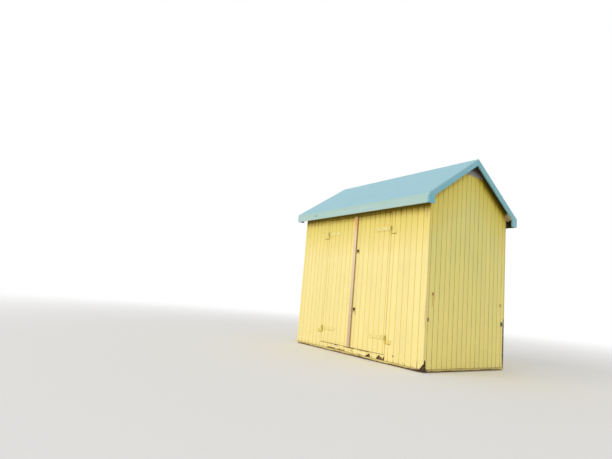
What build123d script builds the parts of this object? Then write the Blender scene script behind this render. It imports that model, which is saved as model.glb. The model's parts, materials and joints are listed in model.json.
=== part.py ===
"""A timber beach hut: a double door under the front eave and a plain gable at each end.

Upright boards are nailed to a light timber frame, which stands on flat sole plates.
Units are millimetres. X runs along the ridge, the front faces -Y and +Z is up.
The origin is on the ground, under the middle of the hut.
"""

import os
from math import atan2, cos, tan

from build123d import *

os.makedirs("parts", exist_ok=True)

# Overall sizes, outside the wall boards
WIDTH = 2465.0
DEPTH = 1575.0

# Doorway and the two door leaves; the roof's height follows the top of the doors
DOORWAY_WIDTH = 1264.0
DOORWAY_OFFSET = 10.0
DOOR_BOTTOM = 106.0
DOOR_HEIGHT = 1762.0
DOOR_GAP = 6.0
REBATE_WIDTH = 17.0
REBATE_DEPTH = 6.0
DOOR_HEAD = 62.0
LEDGE_WIDTH = 100.0
LEDGE = 22.0
LEDGE_INSET = 40.0
LOW_LEDGE = 200.0
HIGH_LEDGE = 208.0
BRACE_WIDTH = 80.0
STRIP_WIDTH = 60.0
STRIP = 18.0

# Roof
EAVE_RISE = 135.0
ROOF_RISE = 627.0
EAVE_OVERHANG = 125.0
GABLE_OVERHANG = 82.0
SHEET = 1.2
SHEET_LIP = 24.0
DECK = 18.0
RAFTER_WIDTH = 50.0
RAFTER_DEPTH = 70.0
SEAT_DEPTH = 18.0
RAFTER_SPACING = 804.0
RIDGE_BOARD = 25.0
RIDGE_BOARD_DEPTH = 90.0
VERGE_WIDTH = 22.0
VERGE_DEPTH = 34.0
TRIM = 20.0
BARGE_DEPTH = 68.0
FOOT_WIDTH = 104.0
FOOT_DROP = 111.0
FOOT_ROUND = 14.0
FASCIA_DROP = 113.0

# Walls and frame
BOARD = 18.0
FRAME = 50.0
BOARD_CLEARANCE = 2.0
APEX_DROP = 212.0
APEX_BOARD = 12.0
APEX_RECESS = 6.0
MID_RAIL_HEIGHT = 1028.0

# Base
SOLE_HEIGHT = 34.0
SOLE_WIDTH = 110.0
SOLE_PROUD = 4.0
UNDERCUT_HEIGHT = 12.0
UNDERCUT_DEPTH = 16.0
BOTTOM_RAIL = 50.0
FLOOR_BOARD = 20.0
FLOOR_FIT = 2.0
JOIST_SPACING = 600.0
JOIST_COUNT = 3

# Strap hinges on pintles
STRAP_LENGTH = 282.0
STRAP_WIDTH = 46.0
STRAP_TIP = 28.0
STRAP = 4.0
EYE_RADIUS = 11.0
HINGE_FIT = 1.0
PIN_RADIUS = 6.0
PIN_CLEARANCE = 0.25
PINTLE_PLATE_LENGTH = 96.0
PINTLE_PLATE_HEIGHT = 40.0
BOSS_RADIUS = 9.0
PINTLE_GAP = 0.5
PIN_TIP = 6.0

# Round locks on the right leaf
LOCK_HEIGHTS = (607.0, 1390.0)
LOCK_INSET = 26.0
LOCK_RADIUS = 19.0
LOCK_PROUD = 5.0
LOCK_EDGE = 1.5
CYLINDER_RADIUS = 9.0
CYLINDER_PROUD = 3.0
KEYHOLE_WIDTH = 3.0
KEYHOLE_HEIGHT = 9.0

# Rot and breakage: heights are above the sole plates, insets are from the doorway's right edge
CORNER_ROT_WIDTH = 48.0
CORNER_ROT_HEIGHT = 54.0
SPLIT_WIDTH = 25.0
SPLIT_HEIGHT = 100.0
SPLIT_TIP = 14.0
SOLE_ROT_LENGTH = 42.0
SOLE_ROT_DEPTH = 46.0
MISSING_EDGE_WIDTH = 22.0
MISSING_EDGE_HEIGHT = 600.0
TIP_GAP_LENGTH = 137.0
TIP_GAP_HEIGHT = 18.0
TIP_SLOT_WIDTH = 40.0
TIP_SLOT_HEIGHT = 50.0
SLOT_SIDE_ANGLE = 80.0
TIP_SLOT_INSETS = (96.0, 262.0)

# Places worked out from the sizes above
right = WIDTH / 2
front = -DEPTH / 2
back = DEPTH / 2
door_top = DOOR_BOTTOM + DOOR_HEIGHT
eave_top = door_top + EAVE_RISE
ridge_top = eave_top + ROOF_RISE
eave_edge = DEPTH / 2 + EAVE_OVERHANG
gable_edge = right + GABLE_OVERHANG
pitch = atan2(ROOF_RISE, eave_edge)
trim_x = gable_edge - TRIM
trim_y = eave_edge - TRIM
inner_x = right - BOARD
inner_y = DEPTH / 2 - BOARD
frame_x = inner_x - FRAME
frame_y = inner_y - FRAME
rail_top = SOLE_HEIGHT + BOTTOM_RAIL
floor_top = rail_top + FLOOR_BOARD
doorway_left = DOORWAY_OFFSET - DOORWAY_WIDTH / 2
doorway_right = DOORWAY_OFFSET + DOORWAY_WIDTH / 2
leaf_width = (DOORWAY_WIDTH - 3 * DOOR_GAP) / 2
left_leaf_start = doorway_left + DOOR_GAP
right_leaf_start = doorway_right - DOOR_GAP - leaf_width
ledge_heights = (DOOR_BOTTOM + LOW_LEDGE, DOOR_BOTTOM + DOOR_HEIGHT / 2, door_top - HIGH_LEDGE)
strap_heights = (ledge_heights[0], ledge_heights[-1])
hinge_y = front - EYE_RADIUS - HINGE_FIT
left_hinge_x = doorway_left + DOOR_GAP / 2
right_hinge_x = doorway_right - DOOR_GAP / 2


def roof_height(y, below=0.0):
    """Height of the plane that lies this far under the roof's top, square to the slope."""
    return ridge_top - abs(y) * tan(pitch) - below / cos(pitch)


deck_top = SHEET
deck_under = SHEET + DECK
ridge_face = RIDGE_BOARD / 2
rafter_under = deck_under + RAFTER_DEPTH
plate_top = roof_height(inner_y, rafter_under) + SEAT_DEPTH
plate_bottom = plate_top - FRAME
boards_top = roof_height(front, rafter_under) - BOARD_CLEARANCE
ridge_board_top = roof_height(ridge_face, deck_under)
apex_cut = ridge_top - APEX_DROP
apex_half_width = (roof_height(0, deck_under) - apex_cut) / tan(pitch)
post_length = plate_bottom - rail_top


def finish(part, name):
    """Names a finished piece and writes it to its own file."""
    part.label = name
    export_step(part, f"parts/{name}.step")


def box_between(x0, x1, y0, y1, z0, z1):
    """A square timber or slab between two corners, in the part that is being built."""
    with Locations(((x0 + x1) / 2, (y0 + y1) / 2, (z0 + z1) / 2)):
        return Box(x1 - x0, y1 - y0, z1 - z0)


# Sole plates: flat planks, a little proud of the boards that stand on them and undercut where they are worn
sole_x = right + SOLE_PROUD
sole_y = DEPTH / 2 + SOLE_PROUD
sole_inner_x = sole_x - SOLE_WIDTH
sole_inner_y = sole_y - SOLE_WIDTH
worn_x = sole_x - UNDERCUT_DEPTH
worn_y = sole_y - UNDERCUT_DEPTH
with BuildPart() as soles_long:
    box_between(-sole_x, sole_x, -sole_y, -sole_inner_y, UNDERCUT_HEIGHT, SOLE_HEIGHT)
    box_between(-worn_x, worn_x, -worn_y, -sole_inner_y, 0, UNDERCUT_HEIGHT)
    mirror(about=Plane.XZ)
    # The end under the rotted corner of the walls has gone with it
    with BuildSketch():
        with BuildLine():
            Polyline(
                (sole_x, -sole_y),
                (sole_x, SOLE_ROT_DEPTH - sole_y),
                (sole_x - SOLE_ROT_LENGTH, -sole_y),
                close=True,
            )
        make_face()
    extrude(amount=SOLE_HEIGHT, mode=Mode.SUBTRACT)
finish(soles_long.part, "soles_long")

with BuildPart() as soles_short:
    box_between(sole_inner_x, sole_x, -sole_inner_y, sole_inner_y, UNDERCUT_HEIGHT, SOLE_HEIGHT)
    box_between(sole_inner_x, worn_x, -sole_inner_y, sole_inner_y, 0, UNDERCUT_HEIGHT)
    mirror(about=Plane.YZ)
finish(soles_short.part, "soles_short")

# Bottom rails and joists carry the floor
with BuildPart() as bottom_rails_long:
    box_between(-inner_x, inner_x, -inner_y, -frame_y, SOLE_HEIGHT, rail_top)
    mirror(about=Plane.XZ)
finish(bottom_rails_long.part, "bottom_rails_long")

with BuildPart() as bottom_rails_short:
    box_between(frame_x, inner_x, -frame_y, frame_y, SOLE_HEIGHT, rail_top)
    mirror(about=Plane.YZ)
finish(bottom_rails_short.part, "bottom_rails_short")

with BuildPart() as floor_joists:
    with Locations((0, 0, SOLE_HEIGHT + BOTTOM_RAIL / 2)):
        with GridLocations(JOIST_SPACING, 1, JOIST_COUNT, 1):
            Box(FRAME, 2 * frame_y, BOTTOM_RAIL)
finish(floor_joists.part, "floor_joists")

# Corner posts, and the two rebated posts that the leaves close against
corner_centres = [
    (side * (inner_x - FRAME / 2), end * (inner_y - FRAME / 2), rail_top)
    for side in (-1, 1)
    for end in (-1, 1)
]
door_post_centres = [
    (doorway_left + REBATE_WIDTH - FRAME / 2, FRAME / 2 - inner_y, rail_top),
    (doorway_right - REBATE_WIDTH + FRAME / 2, FRAME / 2 - inner_y, rail_top),
]
on_the_floor = (Align.CENTER, Align.CENTER, Align.MIN)

with BuildPart() as corner_posts:
    with Locations(*corner_centres):
        Box(FRAME, FRAME, post_length, align=on_the_floor)
finish(corner_posts.part, "corner_posts")

with BuildPart() as door_posts:
    for edge, outward in ((doorway_left, -1), (doorway_right, 1)):
        inner_edge = edge - outward * REBATE_WIDTH
        outer_edge = inner_edge + outward * FRAME
        with BuildSketch(Plane.XY.offset(rail_top)):
            with BuildLine():
                Polyline(
                    (outer_edge, -inner_y),
                    (edge, -inner_y),
                    (edge, REBATE_DEPTH - inner_y),
                    (inner_edge, REBATE_DEPTH - inner_y),
                    (inner_edge, -frame_y),
                    (outer_edge, -frame_y),
                    close=True,
                )
            make_face()
        extrude(amount=post_length)
finish(door_posts.part, "door_posts")

# Door head: a rebated rail between the door posts, over the leaves
head_half = DOORWAY_WIDTH / 2 - REBATE_WIDTH
head_bottom = door_top + DOOR_GAP - REBATE_WIDTH
with BuildPart() as door_head:
    with BuildSketch(Plane.YZ.offset(DOORWAY_OFFSET - head_half)):
        with BuildLine():
            Polyline(
                (-inner_y, head_bottom + DOOR_HEAD),
                (-inner_y, door_top + DOOR_GAP),
                (REBATE_DEPTH - inner_y, door_top + DOOR_GAP),
                (REBATE_DEPTH - inner_y, head_bottom),
                (-frame_y, head_bottom),
                (-frame_y, head_bottom + DOOR_HEAD),
                close=True,
            )
        make_face()
    extrude(amount=2 * head_half)
finish(door_head.part, "door_head")

# Floor, notched round the posts
floor_x = inner_x - FLOOR_FIT
floor_y = inner_y - FLOOR_FIT
notch = FRAME + 2 * FLOOR_FIT
with BuildPart() as floor:
    box_between(-floor_x, floor_x, -floor_y, floor_y, rail_top, floor_top)
    with Locations(*corner_centres, *door_post_centres):
        Box(notch, notch, 2 * FLOOR_BOARD, align=on_the_floor, mode=Mode.SUBTRACT)
finish(floor.part, "floor")

# Wall plates carry the rafters, and the ties run between them under the gables
with BuildPart() as wall_plates:
    box_between(-inner_x, inner_x, -inner_y, -frame_y, plate_bottom, plate_top)
    mirror(about=Plane.XZ)
finish(wall_plates.part, "wall_plates")

with BuildPart() as gable_ties:
    box_between(frame_x, inner_x, -frame_y, frame_y, plate_bottom, plate_top)
    mirror(about=Plane.YZ)
finish(gable_ties.part, "gable_ties")

# Middle rails between the posts, which the boards are nailed to
rail_low = MID_RAIL_HEIGHT - FRAME / 2
rail_high = MID_RAIL_HEIGHT + FRAME / 2
post_reach = FRAME - REBATE_WIDTH
with BuildPart() as mid_rails:
    box_between(frame_x, inner_x, -frame_y, frame_y, rail_low, rail_high)
    mirror(about=Plane.YZ)
    box_between(-frame_x, frame_x, frame_y, inner_y, rail_low, rail_high)
    box_between(-frame_x, doorway_left - post_reach, -inner_y, -frame_y, rail_low, rail_high)
    box_between(doorway_right + post_reach, frame_x, -inner_y, -frame_y, rail_low, rail_high)
finish(mid_rails.part, "mid_rails")

# Front wall, in four pieces round the doorway
with BuildPart() as front_wall_left:
    box_between(-right, doorway_left, front, -inner_y, SOLE_HEIGHT, boards_top)
finish(front_wall_left.part, "front_wall_left")

# The right piece has rotted away at its lower corner
with BuildPart() as front_wall_right:
    box_between(doorway_right, right, front, -inner_y, SOLE_HEIGHT, boards_top)
    with BuildSketch(Plane.XZ.offset(inner_y)):
        with BuildLine():
            Polyline(
                (right, SOLE_HEIGHT),
                (right - CORNER_ROT_WIDTH, SOLE_HEIGHT),
                (right, SOLE_HEIGHT + CORNER_ROT_HEIGHT),
                close=True,
            )
        make_face()
    extrude(amount=BOARD, mode=Mode.SUBTRACT)
finish(front_wall_right.part, "front_wall_right")

with BuildPart() as front_wall_over_doors:
    box_between(doorway_left, doorway_right, front, -inner_y, door_top + DOOR_GAP, boards_top)
finish(front_wall_over_doors.part, "front_wall_over_doors")

# The short boards under the doors have rotted at their tips: a low gap, and slots that climb from the sole
with BuildPart() as front_wall_under_doors:
    box_between(doorway_left, doorway_right, front, -inner_y, SOLE_HEIGHT, DOOR_BOTTOM - DOOR_GAP)
    with BuildSketch(Plane.XZ.offset(inner_y)):
        with BuildLine():
            Polyline(
                (doorway_right, SOLE_HEIGHT),
                (doorway_right, SOLE_HEIGHT + TIP_SLOT_HEIGHT),
                (doorway_right - TIP_SLOT_WIDTH / 2, SOLE_HEIGHT + TIP_GAP_HEIGHT),
                (doorway_right - TIP_GAP_LENGTH, SOLE_HEIGHT + TIP_GAP_HEIGHT),
                (doorway_right - TIP_GAP_LENGTH, SOLE_HEIGHT),
                close=True,
            )
        make_face()
        for inset in TIP_SLOT_INSETS:
            with Locations((doorway_right - inset, SOLE_HEIGHT)):
                Trapezoid(
                    TIP_SLOT_WIDTH, TIP_SLOT_HEIGHT, SLOT_SIDE_ANGLE, align=(Align.CENTER, Align.MIN)
                )
    extrude(amount=BOARD, mode=Mode.SUBTRACT)
finish(front_wall_under_doors.part, "front_wall_under_doors")

# The back wall has lost a strip of its right edge
with BuildPart() as back_wall:
    box_between(-right, right, inner_y, back, SOLE_HEIGHT, boards_top)
    with Locations((right, back, SOLE_HEIGHT)):
        Box(2 * MISSING_EDGE_WIDTH, 2 * BOARD, 2 * MISSING_EDGE_HEIGHT, mode=Mode.SUBTRACT)
finish(back_wall.part, "back_wall")


def gable_boards(x):
    """Gable boards from x towards +X, under the roof boards and cut level below the ridge."""
    with BuildSketch(Plane.YZ.offset(x)) as outline:
        with BuildLine():
            Polyline(
                (-inner_y, SOLE_HEIGHT),
                (inner_y, SOLE_HEIGHT),
                (inner_y, roof_height(inner_y, deck_under)),
                (apex_half_width, apex_cut),
                (-apex_half_width, apex_cut),
                (-inner_y, roof_height(inner_y, deck_under)),
                close=True,
            )
        make_face()
    extrude(outline.sketch, amount=BOARD)


# The edge of the right gable's first board has split off above the rotted corner
with BuildPart() as right_gable_wall:
    gable_boards(inner_x)
    with BuildSketch(Plane.YZ.offset(inner_x)):
        with BuildLine():
            Polyline(
                (-inner_y, SOLE_HEIGHT),
                (SPLIT_WIDTH - inner_y, SOLE_HEIGHT),
                (SPLIT_WIDTH - inner_y, SOLE_HEIGHT + SPLIT_HEIGHT - SPLIT_TIP),
                (-inner_y, SOLE_HEIGHT + SPLIT_HEIGHT),
                close=True,
            )
        make_face()
    extrude(amount=BOARD, mode=Mode.SUBTRACT)
finish(right_gable_wall.part, "right_gable_wall")

with BuildPart() as left_gable_wall:
    gable_boards(-right)
finish(left_gable_wall.part, "left_gable_wall")

# Apex boards close the gables above the level cut, set back from the boards' face
with BuildPart() as apex_boards:
    with BuildSketch(Plane.YZ.offset(right - APEX_RECESS - APEX_BOARD)):
        with BuildLine():
            Polyline(
                (-apex_half_width, apex_cut),
                (apex_half_width, apex_cut),
                (0, roof_height(0, deck_under)),
                close=True,
            )
        make_face()
    extrude(amount=APEX_BOARD)
    mirror(about=Plane.YZ)
finish(apex_boards.part, "apex_boards")

# Ridge board and rafters
with BuildPart() as ridge_board:
    box_between(
        -inner_x, inner_x, -ridge_face, ridge_face,
        ridge_board_top - RIDGE_BOARD_DEPTH, ridge_board_top,
    )
finish(ridge_board.part, "ridge_board")


def rafter(x):
    """One front rafter centred at x: plumb cuts at both ends, and a bird's mouth on the plate."""
    seat_end = inner_y - SEAT_DEPTH / tan(pitch)
    with BuildSketch(Plane.YZ.offset(x - RAFTER_WIDTH / 2)) as outline:
        with BuildLine():
            Polyline(
                (-ridge_face, roof_height(ridge_face, deck_under)),
                (-trim_y, roof_height(trim_y, deck_under)),
                (-trim_y, roof_height(trim_y, rafter_under)),
                (-inner_y, roof_height(inner_y, rafter_under)),
                (-inner_y, plate_top),
                (-seat_end, plate_top),
                (-ridge_face, roof_height(ridge_face, rafter_under)),
                close=True,
            )
        make_face()
    extrude(outline.sketch, amount=RAFTER_WIDTH)


end_rafter = inner_x - RAFTER_WIDTH / 2
with BuildPart() as rafters:
    for station in (-end_rafter, -RAFTER_SPACING / 2, RAFTER_SPACING / 2, end_rafter):
        rafter(station)
    mirror(about=Plane.XZ)
finish(rafters.part, "rafters")

# Verge rafters: slim ones under the ends of the roof boards, which the barge boards are nailed to
verge_under = deck_under + VERGE_DEPTH
with BuildPart() as verge_rafters:
    with BuildSketch(Plane.YZ.offset(trim_x - VERGE_WIDTH)):
        with BuildLine():
            Polyline(
                (-ridge_face, roof_height(ridge_face, deck_under)),
                (-trim_y, roof_height(trim_y, deck_under)),
                (-trim_y, roof_height(trim_y, verge_under)),
                (-ridge_face, roof_height(ridge_face, verge_under)),
                close=True,
            )
        make_face()
    extrude(amount=VERGE_WIDTH)
    mirror(about=Plane.XZ)
    mirror(about=Plane.YZ)
finish(verge_rafters.part, "verge_rafters")

# Roof decks: boards across the rafters, mitred at the ridge
with BuildPart() as front_roof_deck:
    with BuildSketch(Plane.YZ.offset(-trim_x)):
        with BuildLine():
            Polyline(
                (0, roof_height(0, deck_top)),
                (-trim_y, roof_height(trim_y, deck_top)),
                (-trim_y, roof_height(trim_y, deck_under)),
                (0, roof_height(0, deck_under)),
                close=True,
            )
        make_face()
    extrude(amount=2 * trim_x)
finish(front_roof_deck.part, "front_roof_deck")

with BuildPart() as back_roof_deck:
    add(mirror(front_roof_deck.part, about=Plane.XZ, mode=Mode.PRIVATE))
finish(back_roof_deck.part, "back_roof_deck")

# Roof sheet: folded down over the fascia at the eave and over the barge boards at the gables
fold_y = eave_edge + SHEET
fold_top = roof_height(fold_y)
with BuildPart() as front_roof_sheet:
    with BuildSketch(Plane.YZ.offset(-gable_edge)):
        with BuildLine():
            Polyline(
                (0, ridge_top),
                (-fold_y, fold_top),
                (-fold_y, fold_top - SHEET_LIP),
                (-eave_edge, fold_top - SHEET_LIP),
                (-eave_edge, roof_height(eave_edge, SHEET)),
                (0, roof_height(0, SHEET)),
                close=True,
            )
        make_face()
    extrude(amount=2 * gable_edge)
    for start in (-gable_edge - SHEET, gable_edge):
        with BuildSketch(Plane.YZ.offset(start)):
            with BuildLine():
                Polyline(
                    (0, ridge_top),
                    (-fold_y, fold_top),
                    (-fold_y, fold_top - SHEET_LIP),
                    (0, ridge_top - SHEET_LIP),
                    close=True,
                )
            make_face()
        extrude(amount=SHEET)
finish(front_roof_sheet.part, "front_roof_sheet")

with BuildPart() as back_roof_sheet:
    add(mirror(front_roof_sheet.part, about=Plane.XZ, mode=Mode.PRIVATE))
finish(back_roof_sheet.part, "back_roof_sheet")

# Barge boards: each ends in a square foot with rounded inner corners, over the end of the eave
foot_inner = eave_edge - FOOT_WIDTH
foot_bottom = eave_top - FOOT_DROP
with BuildPart() as right_front_barge_board:
    with BuildSketch(Plane.YZ.offset(trim_x)):
        with BuildLine():
            Polyline(
                (0, roof_height(0, deck_top)),
                (-eave_edge, roof_height(eave_edge, deck_top)),
                (-eave_edge, foot_bottom),
                (-foot_inner, foot_bottom),
                (-foot_inner, roof_height(foot_inner, deck_top + BARGE_DEPTH)),
                (0, roof_height(0, deck_top + BARGE_DEPTH)),
                close=True,
            )
        make_face()
    extrude(amount=TRIM)
    inner_foot_edges = right_front_barge_board.edges().filter_by(Axis.X).filter_by(
        lambda edge: abs(edge.center().Y + foot_inner) < FOOT_ROUND
    )
    fillet(inner_foot_edges, radius=FOOT_ROUND)
finish(right_front_barge_board.part, "right_front_barge_board")

with BuildPart() as right_back_barge_board:
    add(mirror(right_front_barge_board.part, about=Plane.XZ, mode=Mode.PRIVATE))
finish(right_back_barge_board.part, "right_back_barge_board")

with BuildPart() as left_front_barge_board:
    add(mirror(right_front_barge_board.part, about=Plane.YZ, mode=Mode.PRIVATE))
finish(left_front_barge_board.part, "left_front_barge_board")

with BuildPart() as left_back_barge_board:
    add(mirror(right_back_barge_board.part, about=Plane.YZ, mode=Mode.PRIVATE))
finish(left_back_barge_board.part, "left_back_barge_board")

# Fascia boards along the eaves, bevelled to the slope
fascia_bottom = eave_top - FASCIA_DROP
with BuildPart() as front_fascia:
    with BuildSketch(Plane.YZ.offset(-trim_x)):
        with BuildLine():
            Polyline(
                (-eave_edge, roof_height(eave_edge, deck_top)),
                (-eave_edge, fascia_bottom),
                (-trim_y, fascia_bottom),
                (-trim_y, roof_height(trim_y, deck_top)),
                close=True,
            )
        make_face()
    extrude(amount=2 * trim_x)
finish(front_fascia.part, "front_fascia")

with BuildPart() as back_fascia:
    add(mirror(front_fascia.part, about=Plane.XZ, mode=Mode.PRIVATE))
finish(back_fascia.part, "back_fascia")

# Door leaves: boards on the front, with ledges and braces behind them
for side, start in (("left", left_leaf_start), ("right", right_leaf_start)):
    with BuildPart() as door:
        box_between(start, start + leaf_width, front, -inner_y, DOOR_BOTTOM, door_top)
    finish(door.part, f"{side}_door")

    ledge_start = start + LEDGE_INSET
    ledge_end = start + leaf_width - LEDGE_INSET
    with BuildPart() as door_ledges:
        for height in ledge_heights:
            box_between(
                ledge_start, ledge_end, -inner_y, LEDGE - inner_y,
                height - LEDGE_WIDTH / 2, height + LEDGE_WIDTH / 2,
            )
    finish(door_ledges.part, f"{side}_door_ledges")

    # Each brace climbs from the hinge side to the meeting side
    if side == "left":
        foot_x, head_x, brace_run = ledge_start, ledge_end, BRACE_WIDTH
    else:
        foot_x, head_x, brace_run = ledge_end, ledge_start, -BRACE_WIDTH
    with BuildPart() as door_braces:
        for low, high in zip(ledge_heights, ledge_heights[1:]):
            with BuildSketch(Plane.XZ.offset(inner_y - LEDGE)):
                with BuildLine():
                    Polyline(
                        (foot_x, low + LEDGE_WIDTH / 2),
                        (foot_x + brace_run, low + LEDGE_WIDTH / 2),
                        (head_x, high - LEDGE_WIDTH / 2),
                        (head_x - brace_run, high - LEDGE_WIDTH / 2),
                        close=True,
                    )
                make_face()
            extrude(amount=LEDGE)
    finish(door_braces.part, f"{side}_door_braces")

# Bare meeting strip, planted on the left leaf along its free edge
meeting_edge = left_leaf_start + leaf_width
with BuildPart() as meeting_strip:
    box_between(meeting_edge - STRIP_WIDTH, meeting_edge, front - STRIP, front, DOOR_BOTTOM, door_top)
finish(meeting_strip.part, "meeting_strip")


def strap(hinge_x, toward, height):
    """One strap: a tapered plate on the leaf that ends in an eye round the pin."""
    tip = hinge_x + toward * STRAP_LENGTH
    with BuildSketch(Plane.XZ.offset(-front)) as outline:
        with BuildLine():
            Polyline(
                (hinge_x, height + STRAP_WIDTH / 2),
                (tip, height + STRAP_TIP / 2),
                (tip, height - STRAP_TIP / 2),
                (hinge_x, height - STRAP_WIDTH / 2),
                close=True,
            )
        make_face()
        with Locations((tip, height)):
            Circle(STRAP_TIP / 2)
    extrude(outline.sketch, amount=STRAP)
    with Locations((hinge_x, hinge_y, height)):
        Cylinder(EYE_RADIUS, STRAP_WIDTH)
        Cylinder(PIN_RADIUS + PIN_CLEARANCE, STRAP_WIDTH, mode=Mode.SUBTRACT)


def pintle(hinge_x, toward, height):
    """One pintle: a wall plate, a boss under the eye and the pin that stands in it."""
    wall_edge = hinge_x - toward * DOOR_GAP / 2
    boss_top = height - STRAP_WIDTH / 2 - PINTLE_GAP
    boss_bottom = boss_top - PINTLE_PLATE_HEIGHT
    pin_length = PINTLE_GAP + STRAP_WIDTH + PIN_TIP
    with BuildSketch(Plane.XZ.offset(-front)) as outline:
        with Locations((wall_edge - toward * PINTLE_PLATE_LENGTH / 2, (boss_top + boss_bottom) / 2)):
            Rectangle(PINTLE_PLATE_LENGTH, PINTLE_PLATE_HEIGHT)
    extrude(outline.sketch, amount=STRAP)
    with Locations((hinge_x, hinge_y, boss_bottom)):
        Cylinder(BOSS_RADIUS, PINTLE_PLATE_HEIGHT, align=on_the_floor)
    with Locations((hinge_x, hinge_y, boss_top)):
        Cylinder(PIN_RADIUS, pin_length, align=on_the_floor)


with BuildPart() as left_door_straps:
    for height in strap_heights:
        strap(left_hinge_x, 1, height)
finish(left_door_straps.part, "left_door_straps")

with BuildPart() as right_door_straps:
    for height in strap_heights:
        strap(right_hinge_x, -1, height)
finish(right_door_straps.part, "right_door_straps")

with BuildPart() as pintles:
    for height in strap_heights:
        pintle(left_hinge_x, 1, height)
        pintle(right_hinge_x, -1, height)
finish(pintles.part, "pintles")

# Round locks: a rose with a bevelled edge, a cylinder and a keyhole, near the right leaf's free edge
lock_x = right_leaf_start + LOCK_INSET
with BuildPart() as door_locks:
    for height in LOCK_HEIGHTS:
        with BuildSketch(Plane.XZ.offset(-front)):
            with Locations((lock_x, height)):
                Circle(LOCK_RADIUS)
        extrude(amount=LOCK_PROUD)
    rose_edges = door_locks.faces().sort_by(Axis.Y)[:2].edges()
    chamfer(rose_edges, length=LOCK_EDGE)
    for height in LOCK_HEIGHTS:
        with BuildSketch(Plane.XZ.offset(LOCK_PROUD - front)):
            with Locations((lock_x, height)):
                Circle(CYLINDER_RADIUS)
                Rectangle(KEYHOLE_WIDTH, KEYHOLE_HEIGHT, mode=Mode.SUBTRACT)
        extrude(amount=CYLINDER_PROUD)
finish(door_locks.part, "door_locks")
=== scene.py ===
# %% [markdown]
# # A painted timber beach hut
# The hut is a light frame of sawn softwood, clad in upright matchboards with a vee at each joint, under a
# boarded roof with a painted covering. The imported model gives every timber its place. This script cuts the
# plain wall, floor and roof slabs into single boards, adds nails and bolts, and paints and ages it all.

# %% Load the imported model
import json
import math

import bmesh
import bpy
import numpy as np
from mathutils import Matrix, Vector


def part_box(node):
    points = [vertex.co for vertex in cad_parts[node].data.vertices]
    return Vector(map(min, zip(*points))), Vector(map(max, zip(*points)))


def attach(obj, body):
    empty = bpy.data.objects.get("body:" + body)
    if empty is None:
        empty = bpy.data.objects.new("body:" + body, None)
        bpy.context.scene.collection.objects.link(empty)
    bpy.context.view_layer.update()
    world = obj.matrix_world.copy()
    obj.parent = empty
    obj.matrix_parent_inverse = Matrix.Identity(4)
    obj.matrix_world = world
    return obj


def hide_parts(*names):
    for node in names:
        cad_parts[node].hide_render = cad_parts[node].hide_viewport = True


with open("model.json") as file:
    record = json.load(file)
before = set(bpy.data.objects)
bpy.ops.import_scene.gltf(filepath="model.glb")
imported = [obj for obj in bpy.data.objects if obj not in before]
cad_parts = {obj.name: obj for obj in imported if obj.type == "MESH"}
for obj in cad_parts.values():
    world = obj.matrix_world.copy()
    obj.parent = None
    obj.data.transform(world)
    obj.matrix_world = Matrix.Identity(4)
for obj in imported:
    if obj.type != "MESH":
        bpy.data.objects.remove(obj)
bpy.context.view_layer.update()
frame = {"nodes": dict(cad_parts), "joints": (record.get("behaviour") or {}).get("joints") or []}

nodes = frame["nodes"]
MM = 0.001

# %% [markdown]
# ## Camera, light and floor
# The camera stands where the photographer did, 0.7 m above the hut's foot and off its front right corner.
# Its place and turn were worked out from the joints of the boards. The light is an overcast day in a
# studio: an even world, and one broad lamp from the front, which leaves the right gable about a third darker.
# A lamp alone would leave black shade, and a world alone would light both faces alike, so it takes the two.

# %% Camera
CAMERA_PLACE = (4.5183, -4.7637, 0.7140)
CAMERA_RIGHT = Vector((0.575941, 0.812735, 0.088056))
CAMERA_FORWARD = Vector((-0.814194, 0.560615, 0.150992))
CAMERA_LENS = 25.764
FILM_WIDTH = 36

camera = bpy.data.objects.new("camera", bpy.data.cameras.new("camera"))
bpy.context.scene.collection.objects.link(camera)
camera_up = CAMERA_RIGHT.cross(CAMERA_FORWARD)
turn = Matrix((CAMERA_RIGHT, camera_up, -CAMERA_FORWARD)).transposed().to_4x4()
camera.matrix_world = Matrix.Translation(CAMERA_PLACE) @ turn
camera.data.lens = CAMERA_LENS
camera.data.sensor_width = FILM_WIDTH
bpy.context.scene.camera = camera
bpy.context.scene.view_settings.view_transform = "Standard"
print("camera", tuple(round(v, 2) for v in camera.location), "lens", CAMERA_LENS)


# %% One helper for colours and one for nodes
def linear(colour):
    """An sRGB hex colour as linear RGBA: c / 12.92 up to 0.04045, then ((c + 0.055) / 1.055) ** 2.4."""
    srgb = np.array([int(colour[i:i + 2], 16) for i in (1, 3, 5)]) / 255
    rgb = np.where(srgb <= 0.04045, srgb / 12.92, ((srgb + 0.055) / 1.055) ** 2.4)
    return (*rgb.tolist(), 1.0)


def add(tree, kind, inputs=None, **settings):
    """Adds one node. Each input is a plain value, or another node's output, which is linked."""
    made = tree.nodes.new("ShaderNode" + kind)
    for name, value in settings.items():
        setattr(made, name, value)
    for socket, value in (inputs or {}).items():
        if isinstance(value, bpy.types.NodeSocket):
            tree.links.new(value, made.inputs[socket])
        else:
            made.inputs[socket].default_value = value
    return made


# %% World and lamp
WORLD_LEVEL = 0.745
LAMP_LEVEL = 1.00
LAMP_TOWARDS = Vector((-0.22, -0.90, 0.36))
LAMP_SOFTNESS = math.radians(50)
WHITE = (1, 1, 1, 1)

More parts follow.
